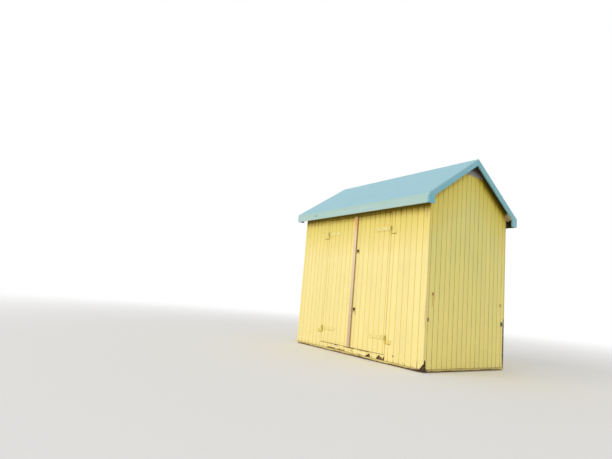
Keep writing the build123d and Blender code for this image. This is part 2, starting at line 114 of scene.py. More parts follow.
world = bpy.data.worlds.new("studio")
bpy.context.scene.world = world
world.use_nodes = True
tree = world.node_tree
tree.nodes.clear()
rays = add(tree, "LightPath").outputs
seen = rays["Is Camera Ray"]
for ray in ("Is Glossy Ray", "Is Transmission Ray"):
    seen = add(tree, "Math", {0: seen, 1: rays[ray]}, operation="MAXIMUM").outputs[0]
soft = add(tree, "Background", {"Color": linear("#FAFBFF"), "Strength": WORLD_LEVEL})
white = add(tree, "Background", {"Color": WHITE, "Strength": 1.0})
sky = add(tree, "MixShader", {0: seen, 1: soft.outputs[0], 2: white.outputs[0]})
add(tree, "OutputWorld", {"Surface": sky.outputs[0]})

lamp = bpy.data.objects.new("broad_lamp", bpy.data.lights.new("broad_lamp", "SUN"))
bpy.context.scene.collection.objects.link(lamp)
lamp.data.energy = LAMP_LEVEL
lamp.data.angle = LAMP_SOFTNESS
lamp.rotation_mode = "QUATERNION"
lamp.rotation_quaternion = LAMP_TOWARDS.to_track_quat("Z", "Y")
print("world", WORLD_LEVEL, "lamp", LAMP_LEVEL)

# %% Floor: pale and plain, fading to white far from the hut so that no horizon shows
FLOOR_HALF = 60.0
FADE_FROM, FADE_TO = 3.5, 14.0

floor_mesh = bpy.data.meshes.new("studio_floor")
corners = [(x * FLOOR_HALF, y * FLOOR_HALF, 0) for x, y in ((-1, -1), (1, -1), (1, 1), (-1, 1))]
floor_mesh.from_pydata(corners, [], [(0, 1, 2, 3)])
studio_floor = bpy.data.objects.new("studio_floor", floor_mesh)
bpy.context.scene.collection.objects.link(studio_floor)

# Matt pale paint, which shows nothing but the hut's shadow
pale = bpy.data.materials.new("matt_pale_floor_paint")
pale.use_nodes = True
tree = pale.node_tree
tree.nodes.clear()
place = add(tree, "TexCoord").outputs["Object"]
away = add(tree, "VectorMath", {0: place}, operation="LENGTH").outputs["Value"]
fade = add(tree, "MapRange", {0: away, 1: FADE_FROM, 2: FADE_TO}, interpolation_type="SMOOTHSTEP").outputs[0]
seen = add(tree, "LightPath").outputs["Is Camera Ray"]
fade = add(tree, "Math", {0: fade, 1: seen}, operation="MULTIPLY").outputs[0]
matt = add(tree, "BsdfPrincipled", {
    "Base Color": linear("#F1EFEA"), "Roughness": 0.9, "Specular IOR Level": 0.1,
})
glow = add(tree, "Emission", {"Color": WHITE, "Strength": 1.0})
ground = add(tree, "MixShader", {0: fade, 1: matt.outputs[0], 2: glow.outputs[0]})
add(tree, "OutputMaterial", {"Surface": ground.outputs[0]})
floor_mesh.materials.append(pale)
print("floor", 2 * FLOOR_HALF, "m wide, white from", FADE_TO, "m")

# %% [markdown]
# ## Sizes taken from the frame
# The later pieces are placed from these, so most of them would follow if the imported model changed. Stains,
# rot and some nails have places of their own, read off the photograph or chosen. The roof is a plane each
# side of the ridge, so one slope and one height describe it, and a depth square to the slope gives the boards
# and the timbers under them.

# %% Sizes
left_wall_low, left_wall_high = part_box("front_wall_left")
right_wall_low, right_wall_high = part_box("front_wall_right")
under_low, under_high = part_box("front_wall_under_doors")
gable_low, gable_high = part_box("right_gable_wall")
back_low, back_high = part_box("back_wall")
deck_low, deck_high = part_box("front_roof_deck")
sheet_low, sheet_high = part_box("front_roof_sheet")
apex_low, apex_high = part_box("apex_boards")

BOARD = left_wall_high.y - left_wall_low.y
front_face = left_wall_low.y
right_face = right_wall_high.x
sole_top = left_wall_low.z
SHEET = 1.2 * MM
SHEET_LIP = 24 * MM
DECK = 18 * MM
ridge = sheet_high.z
slope = (ridge - sheet_low.z - SHEET_LIP) / -sheet_low.y
pitch = math.atan(slope)


def roof_under(y, below):
    """Height of the plane that lies this far under the roof's top, square to the slope."""
    return ridge - np.abs(y) * slope - below / math.cos(pitch)


print(f"walls {2 * right_face:.3f} by {-2 * front_face:.3f} m, ridge {ridge:.3f} m")
print(f"pitch {math.degrees(pitch):.1f} degrees")


# %% [markdown]
# ## Shapes
# Nearly every piece here is a closed shell of rings: a section is carried along a length, and both ends are
# capped. A box with a bevel would be quicker, but it can't cup, fray or wear along its length. Rings suit
# sawn timber, where the section is what the saw and the planer made and the length is cut afterwards. Each
# shell is a dictionary of points, faces and per-point marks that the paint reads.

# %% Rings of points joined into shells
def ring_faces(rows, around):
    """Quads between neighbouring rings: point i of ring j with i + 1, and the same two of ring j + 1."""
    ring, point = np.meshgrid(np.arange(rows - 1), np.arange(around), indexing="ij")
    after = (point + 1) % around
    corners = [ring * around + point, ring * around + after]
    corners += [(ring + 1) * around + after, (ring + 1) * around + point]
    return np.stack(corners, -1).reshape(-1, 4).tolist()


def capped(rings, **marks):
    """A shell from rings of points of shape (rows, around, 3), closed by one flat cap at each end.

    A mark is one number for the whole shell, or an array with a number for each point of each ring.
    """
    rows, around = rings.shape[:2]
    last = (rows - 1) * around
    caps = [list(range(around))[::-1], list(range(last, last + around))]
    made = {name: np.broadcast_to(value, (rows, around)).ravel() for name, value in marks.items()}
    return {"points": rings.reshape(-1, 3), "faces": ring_faces(rows, around) + caps, "marks": made}


# %% Outlines and the slabs cut to them
def rectangle(left, near, right, far):
    """The four corners of a plan, counterclockwise."""
    return [(left, near), (right, near), (right, far), (left, far)]


def eased(corners, cut=1.5 * MM):
    """An outline with its corners taken off: each becomes two points, this far along its two edges."""
    corners = np.asarray(corners, float)
    onward = np.roll(corners, -1, 0) - corners
    onward /= np.linalg.norm(onward, axis=1)[:, None]
    return np.stack([corners - np.roll(onward, 1, 0) * cut, corners + onward * cut], 1).reshape(-1, 2)


def slab(outline, start, stop, put, arris=1.5 * MM, **marks):
    """A flat piece cut to an outline that runs counterclockwise, with the edges of its two faces taken off.

    The outline is repeated at six depths. A corner moves inwards by the sum of its two edges' inward normals,
    over 1 plus their dot product, times the inset, which follows a quarter round at both faces.
    """
    outline = np.asarray(outline, float)
    edge = np.roll(outline, -1, 0) - outline
    normal = np.stack([-edge[:, 1], edge[:, 0]], 1) / np.linalg.norm(edge, axis=1)[:, None]
    before = np.roll(normal, 1, 0)
    inward = (normal + before) / (1 + (normal * before).sum(1))[:, None]
    quarter = np.array([1.0, 0.3, 0.0])
    depth = np.concatenate([start + arris * quarter[::-1], stop - arris * quarter])
    inset = arris * np.concatenate([quarter, quarter[::-1]])
    across = outline[None] + inward[None] * inset[:, None, None]
    deep = np.broadcast_to(depth[:, None], across.shape[:2])
    return capped(np.stack(put(across[..., 0], across[..., 1], deep), -1), **marks)


# %% Turned heads, and copies of one shell
def turned(profile, axis, around=24, **marks):
    """A turned piece at the origin: a profile of (radius, distance along the axis) carried round the axis."""
    radius, along = np.asarray(profile, float).T
    angle = np.linspace(0, 2 * np.pi, around, endpoint=False)
    u = radius[:, None] * np.cos(angle)
    v = radius[:, None] * np.sin(angle)
    w = np.broadcast_to(along[:, None], u.shape)
    order = {"X": (w, u, v), "Y": (v, w, u), "Z": (u, v, w)}[axis]
    return capped(np.stack(order, -1), **marks)


def repeated(part, places):
    """Copies of one shell at each place: points and marks repeat, and faces are shifted copy by copy."""
    places = np.asarray(places, float)
    count = len(part["points"])
    points = (part["points"][None] + places[:, None]).reshape(-1, 3)
    faces = [[i + n * count for i in face] for n in range(len(places)) for face in part["faces"]]
    marks = {name: np.tile(mark, len(places)) for name, mark in part["marks"].items()}
    return {"points": points, "faces": faces, "marks": marks}


# %% Shells become one named piece, which rides on a body and may stand for CAD nodes
def make_piece(name, parts, body, material, replaced=(), smooth=35):
    """Joins shells into one object at the origin, with normals outwards and edges over the angle sharp."""
    points, faces, count = [], [], 0
    for part in parts:
        points.append(part["points"])
        faces += [[i + count for i in face] for face in part["faces"]]
        count += len(part["points"])
    mesh = bpy.data.meshes.new(name)
    mesh.from_pydata(np.concatenate(points), [], faces)
    for mark in sorted({mark for part in parts for mark in part["marks"]}):
        values = [part["marks"].get(mark, np.zeros(len(part["points"]))) for part in parts]
        attribute = mesh.attributes.new(mark, "FLOAT", "POINT")
        attribute.data.foreach_set("value", np.concatenate(values).astype(np.float32))
    shape = bmesh.new()
    shape.from_mesh(mesh)
    bmesh.ops.recalc_face_normals(shape, faces=shape.faces)
    shape.to_mesh(mesh)
    shape.free()
    mesh.shade_smooth()
    mesh.set_sharp_from_angle(angle=math.radians(smooth))
    mesh.materials.append(material)
    piece = bpy.data.objects.new(name, mesh)
    bpy.context.scene.collection.objects.link(piece)
    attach(piece, body)
    if replaced:
        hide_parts(*replaced)
    print(f"{name}: {len(parts)} shells, {len(mesh.polygons)} faces, on {body}")
    return piece


# %% [markdown]
# ## Matchboards
# A matchboard is planed with a chamfer along each long edge, so two boards side by side show a vee, and a
# narrow slot at its bottom where the tongue sits. A bump in the paint could draw the vees on one flat wall,
# but they would vanish from the side. Boards also cup a little as they dry, and each takes paint slightly
# differently. So each board is real: a section of front and back columns that is carried upwards.

# %% One board
BOARD_COVER = 90 * MM
VEE_ACROSS = np.array([0.0, 0.5, 0.9, 3.6]) * MM
VEE_OUT = np.array([-5.5, -5.5, -3.4, 0.0]) * MM
VEE_DIRT = np.array([1.0, 1.0, 0.85, 0.35])
ROUND_ACROSS = np.array([0.0, 0.2, 0.9, 2.5]) * MM
ROUND_OUT = np.array([-15.0, -2.2, -0.6, 0.0]) * MM
BACK_CHAMFER = np.array([3.0, 2.5, 2.1, 0.0]) * MM
BACK_DIRT = np.array([1.0, 0.8, 0.4, 0.0])
FLAT_FROM = 6 * MM
END_SOFTENING = 1.2 * MM
END_SHARES = [0.0, 0.004], [0.996, 1.0]
chance = np.random.default_rng(7)


def board(left, right, low, high, thick, joints, put, columns=4, rows=7, rot=None):
    """One upright board between two edges, as a closed shell.

    Each column has a front and a back point at the same place across. The outward distance is the vee or the
    rounded edge at the sides, less a cup that grows with the square of the distance from the middle. Heights
    run from low(across) to high(across) in even steps, with the first and last drawn in a little.
    """
    sides = [
        (VEE_ACROSS, VEE_OUT, VEE_DIRT) if joint else (ROUND_ACROSS, ROUND_OUT, 0 * VEE_DIRT)
        for joint in joints
    ]
    middle = np.linspace(left + FLAT_FROM, right - FLAT_FROM, columns)
    across = np.concatenate([left + sides[0][0], middle, right - sides[1][0][::-1]])
    out = np.concatenate([sides[0][1], np.zeros(columns), sides[1][1][::-1]])
    cup = chance.uniform(0.1, 0.7) * MM
    out = out - cup * ((across - (left + right) / 2) / ((right - left) / 2)) ** 2
    vee = np.concatenate([sides[0][2], np.zeros(columns), sides[1][2][::-1]])
    back = -thick + np.concatenate([BACK_CHAMFER, np.zeros(columns), BACK_CHAMFER[::-1]])
    back_dirt = np.concatenate([BACK_DIRT, np.zeros(columns), BACK_DIRT[::-1]])
    step = np.concatenate([END_SHARES[0], np.linspace(0.03, 0.97, rows), END_SHARES[1]])
    draw = np.zeros(len(step))
    draw[[0, -1]] = END_SOFTENING
    low_edge = np.broadcast_to(low(across), across.shape)
    high_edge = np.broadcast_to(high(across), across.shape)
    height = low_edge + (high_edge - low_edge) * step[:, None]
    front_out = out - draw[:, None]
    ring_out = np.concatenate([front_out, np.broadcast_to(back[::-1], front_out.shape)], 1)
    ring_up = np.concatenate([height, height[:, ::-1]], 1)
    ring_across = np.broadcast_to(np.concatenate([across, across[::-1]]), ring_up.shape)
    rows_all, around = ring_up.shape
    k = np.arange(len(across) - 1)
    cap = np.stack([k, k + 1, around - 2 - k, around - 1 - k], -1)
    faces = ring_faces(rows_all, around) + cap[:, ::-1].tolist() + (cap + (rows_all - 1) * around).tolist()
    inside = np.concatenate([np.zeros(len(across)), np.ones(len(across))])
    marks = {
        "tone": np.full(rows_all * around, chance.random()),
        "vee": np.tile(np.concatenate([vee, back_dirt]), rows_all),
        "bare": np.tile(inside, rows_all),
    }
    if rot is not None:
        marks["rot"] = rot(ring_across, ring_up).ravel()
    points = np.stack(put(ring_across, ring_out, ring_up), -1).reshape(-1, 3)
    return {"points": points, "faces": faces, "marks": marks}


# %% A run of boards on a grid of joints
NARROWEST = 0.02


def board_edges(left, right, joint):
    """The edges of the boards between left and right: both ends, and every joint + k * cover between them."""
    first = math.ceil((left - joint) / BOARD_COVER + NARROWEST)
    last = math.floor((right - joint) / BOARD_COVER - NARROWEST)
    return [left, *(joint + BOARD_COVER * np.arange(first, last + 1)), right]


def run_of_boards(left, right, joint, low, high, put, fine=(), rot=None):
    """Boards side by side. One that holds a fine place gets many columns, so that its end can be ragged."""
    edges = board_edges(left, right, joint)
    made = []
    for n, (start, stop) in enumerate(zip(edges, edges[1:])):
        columns = 36 if any(start < spot < stop for spot in fine) else 4
        joints = (n > 0, n < len(edges) - 2)
        made.append(board(start, stop, low, high, BOARD, joints, put, columns, rot=rot))
    return made


# %% [markdown]
# ## Finishes as layers
# Old paint is a stack of thin things: the coat itself, chalk, dirt, rust and mould. They could be painted on
# an image, but then they would fit this one hut only, and blur close up. Here each is a layer: a value that
# says where it lies, the range over which it comes in, its greatest strength and its colour. Noise makes the
# values wander, and its scale is worked out from the real size of brush marks, fibres or specks.

# %% Steps that the finishes share
def per_metre(size_mm):
    """How often a feature of this size fits into a metre, which is what a noise scale counts."""
    return 1 / (size_mm * MM)


def new_finish(name):
    """An empty material with its node tree, its Object coordinates, and these split into X, Y and Z."""
    made = bpy.data.materials.new(name)
    made.use_nodes = True
    tree = made.node_tree
    tree.nodes.clear()
    place = add(tree, "TexCoord").outputs["Object"]
    return made, tree, place, add(tree, "SeparateXYZ", {0: place}).outputs


def layered(tree, colour, value, start, stop, strength, tint, least=0.0, within=None):
    """A colour with one layer over it.

    The layer's share goes from least to strength as value goes from start to stop. Within is a mark or a
    pattern that the share is multiplied by, so that the layer keeps to it.
    """
    share = add(tree, "MapRange", {0: value, 1: start, 2: stop, 3: least, 4: strength}).outputs[0]
    if within:
        share = add(tree, "Math", {0: share, 1: within}, operation="MULTIPLY").outputs[0]
    return add(tree, "Mix", {0: share, 6: colour, 7: linear(tint)}, data_type="RGBA").outputs[2]


def shaded(tree, colour, value):
    """A colour times a value near 1, the same for red, green and blue."""
    grey = add(tree, "CombineColor", {0: value, 1: value, 2: value}).outputs[0]
    return add(tree, "Mix", {0: 1.0, 6: colour, 7: grey}, data_type="RGBA", blend_type="MULTIPLY").outputs[2]


def finished(made, colour, relief, strength, depth, sockets):
    """Ends a finish: one shader with the colour, a relief this strong and deep, and the given sockets."""
    tree = made.node_tree
    bump = add(tree, "Bump", {"Height": relief, "Strength": strength, "Distance": depth}).outputs[0]
    surface = add(tree, "BsdfPrincipled", {"Base Color": colour, "Normal": bump, **sockets})
    add(tree, "OutputMaterial", {"Surface": surface.outputs[0]})
    return made


# %% Single stains and painted shadows
def stained_and_shaded(tree, colour, split, wander, stains_and_shadows):
    """A colour with soft-edged boxes over it, each of (axis, start, stop, bottom, top, strength, tint).

    A box ends where the larger of its two shares, distance over half size, is 1. Wander, a noise round 0.8,
    moves the place by up to 5 mm each way, so that the edges are ragged.
    """
    for axis, start, stop, bottom, top, strength, tint in stains_and_shadows:
        shares = []
        for at, low, high in ((split[axis], start, stop), (split[2], bottom, top)):
            at = add(tree, "Math", {0: wander, 1: 5 * MM, 2: at}, operation="MULTIPLY_ADD").outputs[0]
            at = add(tree, "Math", {0: at, 1: (low + high) / 2 + 4 * MM}, operation="SUBTRACT").outputs[0]
            at = add(tree, "Math", {0: at, 1: (high - low) / 2}, operation="DIVIDE").outputs[0]
            shares.append(add(tree, "Math", {0: at}, operation="ABSOLUTE").outputs[0])
        share = add(tree, "Math", {0: shares[0], 1: shares[1]}, operation="MAXIMUM").outputs[0]
        colour = layered(tree, colour, share, 1.15, 0.6, strength, tint)
    return colour


# %% [markdown]
# ## Matchboard paint
# Everything outside is gloss paint over softwood. Years of salt and sun leave it chalky, with fine brush
# marks, a darker line of dirt in each vee, and brown stains where water sits. Inside, the timber is bare.
# Front, gable and doors could each have a material of their own, but they differ only in colour and in where
# they are dirty or carry painted shade. So the paint is one function, made of smaller ones for mould and
# painted shade, ground dirt, rot, stains and painted shadows.

# %% Painted shade and mould under the roof
def shade_and_mould_under_roof(tree, colour, split, runs, vee, edge, fall, shade_and_mould_depth):
    """Three layers towards the roof, painted shade over mould: a deeper yellow, then golden brown, then a
    ragged olive line with drips.

    The level of a point is z + |y| * fall, raised by up to 90 mm in the runs and by 70 mm in the vees, where
    the damp reaches further down.
    """
    side = add(tree, "Math", {0: split[1]}, operation="ABSOLUTE").outputs[0]
    level = add(tree, "Math", {0: side, 1: fall, 2: split[2]}, operation="MULTIPLY_ADD").outputs[0]
    level = add(tree, "Math", {0: runs, 1: 90 * MM, 2: level}, operation="MULTIPLY_ADD").outputs[0]
    level = add(tree, "Math", {0: vee, 1: 70 * MM, 2: level}, operation="MULTIPLY_ADD").outputs[0]
    colour = layered(tree, colour, level, edge - 0.60, edge - 0.06, 0.65, "#E6CA26")
    colour = layered(tree, colour, level, edge - 2.2 * shade_and_mould_depth, edge - 0.015, 0.88, "#B49200")
    return layered(tree, colour, level, edge - shade_and_mould_depth, edge, 0.92, "#7E6C08")


# %% Dirt near the ground
def ground_dirt(tree, colour, split, speckle, vee, strength):
    """Splashed sand in specks, a worn brown line along the boards' lower ends, and rot low in the vees."""
    colour = layered(tree, colour, split[2], 0.30, 0.05, strength, "#B79A6A", within=speckle)
    ragged = add(tree, "Math", {0: speckle, 1: -4 * MM, 2: split[2]}, operation="MULTIPLY_ADD").outputs[0]
    colour = layered(tree, colour, ragged, sole_top + 7 * MM, sole_top + 2 * MM, 0.8, "#8C6A34")
    return layered(tree, colour, split[2], 0.075, 0.040, 0.9, "#5E4220", within=vee)


# %% Bare inner faces and broken ends
def bare_and_rotten(tree, colour, grain, tone, vee, bare, rot):
    """Brown softwood where the mark bare is 1, on the inner face, and black rot where rot is 1."""
    wood = layered(tree, linear("#8E6B45"), grain, 0.0, 1.0, 1.0, "#C6A272")
    wood = layered(tree, wood, tone, 0.0, 1.0, 0.45, "#95683C")
    wood = layered(tree, wood, vee, 0.0, 1.0, 0.7, "#4A3320")
    rotten = layered(tree, linear("#2E211A"), grain, 0.0, 1.0, 1.0, "#5C4436")
    colour = add(tree, "Mix", {0: bare, 6: colour, 7: wood}, data_type="RGBA").outputs[2]
    return add(tree, "Mix", {0: rot, 6: colour, 7: rotten}, data_type="RGBA").outputs[2]


# %% Board paint
def board_paint(name, paint, vee_colour, edge, fall, shade_and_mould_depth=45 * MM, painted_green_shade=0.0, foot_dirt=0.0, stains_and_shadows=()):
    """Gloss paint on softwood boards, chalked by sun and salt: satin, with brush marks along the board.

    Painted shade and mould darken the boards under the roof, to this depth below the line z + |y| * fall =
    edge, which is an eave or a verge. A painted shade, greener and darker with height, is laid on a wall that
    the lamp doesn't light.
    """
    made, tree, place, split = new_finish(name)
    tone, vee, bare, rot = (
        add(tree, "Attribute", attribute_name=mark).outputs["Fac"] for mark in ("tone", "vee", "bare", "rot")
    )

    # Patterns squeezed along the board: brush marks 3 by 143 mm, runs 42 by 625 mm, grain 5 by 200 mm
    streaks = []
    sizes = ((3.03, 142.9, 3.0, 0.0), (41.67, 625, 5.0, 0.0), (5.263, 200, 4.0, 0.4))
    for across, long, detail, wavy in sizes:
        scale = (per_metre(across), per_metre(across), per_metre(long))
        squeezed = add(tree, "Mapping", {"Vector": place, "Scale": scale}).outputs[0]
        streak = add(tree, "TexNoise", {
            "Vector": squeezed, "Scale": 1.0, "Detail": detail, "Distortion": wavy,
        })
        streaks.append(streak.outputs["Fac"])
    brush, runs, grain = streaks

    # Patches where the paint has chalked, 313 mm wide, and splashes of 24 mm
    patches = add(tree, "TexNoise", {
        "Vector": place, "Scale": per_metre(312.5), "Detail": 4.0, "Roughness": 0.6,
    }).outputs["Fac"]
    splash = add(tree, "TexNoise", {"Vector": place, "Scale": per_metre(23.81), "Detail": 4.0})
    speckle = add(tree, "MapRange", {0: splash.outputs["Fac"], 1: 0.52, 2: 0.66}).outputs[0]

    # Each board takes the paint a little differently
    value = add(tree, "MapRange", {0: tone, 3: 0.972, 4: 1.015}).outputs[0]
    for pattern, least, most in ((patches, 0.965, 1.02), (brush, 0.975, 1.015)):
        spread = add(tree, "MapRange", {0: pattern, 1: 0.3, 2: 0.7, 3: least, 4: most}).outputs[0]
        value = add(tree, "Math", {0: value, 1: spread}, operation="MULTIPLY").outputs[0]
    colour = shaded(tree, linear(paint), value)
    colour = layered(tree, colour, runs, 0.50, 0.72, 0.30, "#F1DA93")

    # Painted shade on a wall the lamp doesn't light, greener and darker with height, stronger on some boards
    share = add(tree, "MapRange", {0: split[2], 1: 0.4, 2: 2.3, 3: -0.25 * painted_green_shade, 4: 0.75 * painted_green_shade}).outputs[0]
    share = add(tree, "Math", {0: tone, 1: 0.5 * painted_green_shade, 2: share}, operation="MULTIPLY_ADD").outputs[0]
    colour = layered(tree, colour, share, 0.0, 1.0, 1.0, "#B5C060")

    # Water leaves a browner line in the vees, now olive and now golden
    groove = layered(tree, linear(vee_colour), patches, 0.45, 0.65, 0.6, "#E6B850")
    share = add(tree, "MapRange", {0: tone, 3: 0.6, 4: 1.0}).outputs[0]
    share = add(tree, "Math", {0: vee, 1: share}, operation="MULTIPLY").outputs[0]
    colour = add(tree, "Mix", {0: share, 6: colour, 7: groove}, data_type="RGBA").outputs[2]

    colour = shade_and_mould_under_roof(tree, colour, split, runs, vee, edge, fall, shade_and_mould_depth)
    colour = ground_dirt(tree, colour, split, speckle, vee, foot_dirt)
    wander = add(tree, "Math", {0: speckle, 1: runs}, operation="ADD").outputs[0]
    colour = stained_and_shaded(tree, colour, split, wander, stains_and_shadows)
    colour = bare_and_rotten(tree, colour, grain, tone, vee, bare, rot)

    # Paint has a satin shine, which dirt in the vees and bare wood don't
    relief = add(tree, "Math", {0: brush, 1: grain}, operation="ADD").outputs[0]
    shine = add(tree, "MapRange", {0: patches, 3: 0.38, 4: 0.58}).outputs[0]
    rough = add(tree, "Mix", {0: bare, 2: shine, 3: 0.8}, data_type="FLOAT").outputs[0]
    matt = add(tree, "MapRange", {0: vee, 3: 0.5, 4: 0.15}).outputs[0]
    sockets = {"Roughness": rough, "IOR": 1.5, "Specular IOR Level": matt}
    return finished(made, colour, relief, 0.35, 0.35 * MM, sockets)


# %% [markdown]
# ## Timber, trim and metal
# The grain of a timber runs along it, so each finish takes a direction. A texture could be laid on each piece
# by hand, but noise that is squeezed along one axis gives the same fibres and never repeats. The roof's
# slopes fold onto one another when |y| is read for y, and a turn by the pitch then lays the grain along both.

# %% Directions of the grain
ALONG = 0.03
STRETCH = {
    "X": (ALONG, 1, 1), "Y": (1, ALONG, 1), "Z": (1, 1, ALONG), "level": (0.04, 0.04, 1),
    "slope": (1, ALONG, 1), "level_slope": (ALONG, 1, 1),
    "left_brace": (ALONG, 1, 1), "right_brace": (ALONG, 1, 1),
}
brace_low, brace_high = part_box("left_door_braces")
LEDGE_WIDTH = 100 * MM
brace_pitch = math.atan2((brace_high.z - brace_low.z - LEDGE_WIDTH) / 2, brace_high.x - brace_low.x)
BRACE_TURN = {"left_brace": brace_pitch, "right_brace": -brace_pitch}


def grain_place(tree, along):
    """Object coordinates in metres, shrunk along the grain, with the two roof slopes folded into one."""
    place = add(tree, "TexCoord").outputs["Object"]
    if along in BRACE_TURN:
        place = add(tree, "Mapping", {0: place, "Rotation": (0, BRACE_TURN[along], 0)}).outputs[0]
    if "slope" in along:
        split = add(tree, "SeparateXYZ", {0: place}).outputs
        side = add(tree, "Math", {0: split[1]}, operation="ABSOLUTE").outputs[0]
        folded = add(tree, "CombineXYZ", {0: split[0], 1: side, 2: split[2]}).outputs[0]
        place = add(tree, "Mapping", {0: folded, "Rotation": (pitch, 0, 0)}).outputs[0]
    return add(tree, "Mapping", {0: place, "Scale": STRETCH[along]}).outputs[0]


print("braces at", round(math.degrees(brace_pitch), 1), "degrees")


# %% Bare softwood
def softwood(name, light, dark, along, grain_mm=4.0, rough=0.75, grey=0.0, turned_by=()):
    """Sawn or planed softwood: bands of early and late wood along the length, and finer fibres over them.

    Grey is how far the surface has silvered, in patches. Each row of turned_by is a height where damp, mould,
    or a painted light or shade begins to turn the timber's colour, a height where it has turned, how far, and
    the colour.
    """
    made, tree, place, split = new_finish(name)
    tone = add(tree, "Attribute", attribute_name="tone").outputs["Fac"]
    shifted = add(tree, "VectorMath", {0: grain_place(tree, along), 1: tone}, operation="ADD").outputs[0]
    bands = add(tree, "TexNoise", {
        "Vector": shifted, "Scale": per_metre(6 * grain_mm), "Detail": 2.0, "Distortion": 0.8,
    }).outputs["Fac"]
    fibres = add(tree, "TexNoise", {
        "Vector": shifted, "Scale": per_metre(grain_mm), "Detail": 5.0, "Roughness": 0.65,
    }).outputs["Fac"]
    patch = add(tree, "TexNoise", {"Vector": place, "Scale": per_metre(250), "Detail": 3.0}).outputs["Fac"]
    figure = add(tree, "Math", {0: bands, 1: fibres}, operation="MULTIPLY").outputs[0]
    colour = layered(tree, linear(dark), figure, 0.14, 0.38, 1.0, light)
    colour = layered(tree, colour, patch, 0.3, 0.7, grey, "#9A958C", least=0.5 * grey)
    for begins, ends, strength, tint in turned_by:
        colour = layered(tree, colour, split[2], begins, ends, strength, tint)
    colour = layered(tree, colour, tone, 0.0, 1.0, 0.16, dark)
    return finished(made, colour, fibres, 0.5, 0.5 * MM, {"Roughness": rough, "IOR": 1.5})


# %% Gloss paint on planed trim
def trim_paint(name, paint, worn, along, wear=0.25, rough=0.45, inner=None, stains_and_shadows=()):
    """Gloss paint on trim: brush marks along it, and worn patches that are drawn out along the grain.

    Inner is an axis, a distance along it and a colour: what lies nearer to the middle of the hut than that
    has the colour, such as a near-black painted shade on faces that look inwards, or the fascia's paint on
    the roof's lip.
    """
    made, tree, place, split = new_finish(name)
    stretched = grain_place(tree, along)
    brush = add(tree, "TexNoise", {
        "Vector": stretched, "Scale": per_metre(3.333), "Detail": 4.0,
    }).outputs["Fac"]
    streaky, patch = (
        add(tree, "TexNoise", {
            "Vector": where, "Scale": per_metre(size_mm), "Detail": detail, "Roughness": 0.6,
        }).outputs["Fac"]
        for where, size_mm, detail in ((stretched, 16.67, 4.0), (place, 200, 5.0))
    )
    both = add(tree, "Math", {0: patch, 1: streaky}, operation="MULTIPLY").outputs[0]
    colour = layered(tree, linear(paint), both, 0.17, 0.36, wear, worn)
    value = add(tree, "MapRange", {0: brush, 1: 0.3, 2: 0.7, 3: 0.94, 4: 1.03}).outputs[0]
    colour = shaded(tree, colour, value)
    wander = add(tree, "Math", {0: patch, 1: streaky}, operation="ADD").outputs[0]
    colour = stained_and_shaded(tree, colour, split, wander, stains_and_shadows)
    if inner:
        axis, near, inner_colour = inner
        side = add(tree, "Math", {0: split[axis]}, operation="ABSOLUTE").outputs[0]
        within = add(tree, "Math", {0: side, 1: near}, operation="LESS_THAN").outputs[0]
        colour = layered(tree, colour, within, 0.0, 1.0, 1.0, inner_colour)
    rot = add(tree, "Attribute", attribute_name="rot").outputs["Fac"]
    colour = layered(tree, colour, rot, 0.0, 1.0, 1.0, "#3A261B")
    return finished(made, colour, brush, 0.3, 0.3 * MM, {"Roughness": rough, "IOR": 1.5})


# %% Painted and rusted steel
def rusty_metal(name, paint, rust, amount, rough=0.5, metallic=0.0, darker_from=None):
    """Steel under old paint: rust breaks through in patches, rough and matt.

    Where the metal stands proud round the hinge pin, in front of the given depth along -y, it turns a darker
    olive.
    """
    made, tree, place, split = new_finish(name)
    patch = add(tree, "TexNoise", {
        "Vector": place, "Scale": per_metre(18.18), "Detail": 6.0, "Roughness": 0.65,
    }).outputs["Fac"]
    fine = add(tree, "TexNoise", {"Vector": place, "Scale": per_metre(2.5), "Detail": 3.0}).outputs["Fac"]
    share = add(tree, "MapRange", {0: patch, 1: 0.62 - 0.3 * amount, 2: 0.72 - 0.3 * amount}).outputs[0]
    rusted = layered(tree, linear(rust), fine, 0.0, 1.0, 1.0, "#9A5A2C")
    colour = add(tree, "Mix", {0: share, 6: linear(paint), 7: rusted}, data_type="RGBA").outputs[2]
    if darker_from is not None:
        proud = add(tree, "Math", {0: split[1], 1: darker_from}, operation="LESS_THAN").outputs[0]
        colour = layered(tree, colour, proud, 0.0, 1.0, 0.75, "#BCA83A")
    roughness = add(tree, "Mix", {0: share, 2: rough, 3: 0.85}, data_type="FLOAT").outputs[0]
    return finished(made, colour, patch, 0.4, 0.5 * MM, {"Roughness": roughness, "Metallic": metallic})


# %% The bare strip between the doors
PAINT_LAP = 9 * MM
SHADED_EDGE = 2 * MM


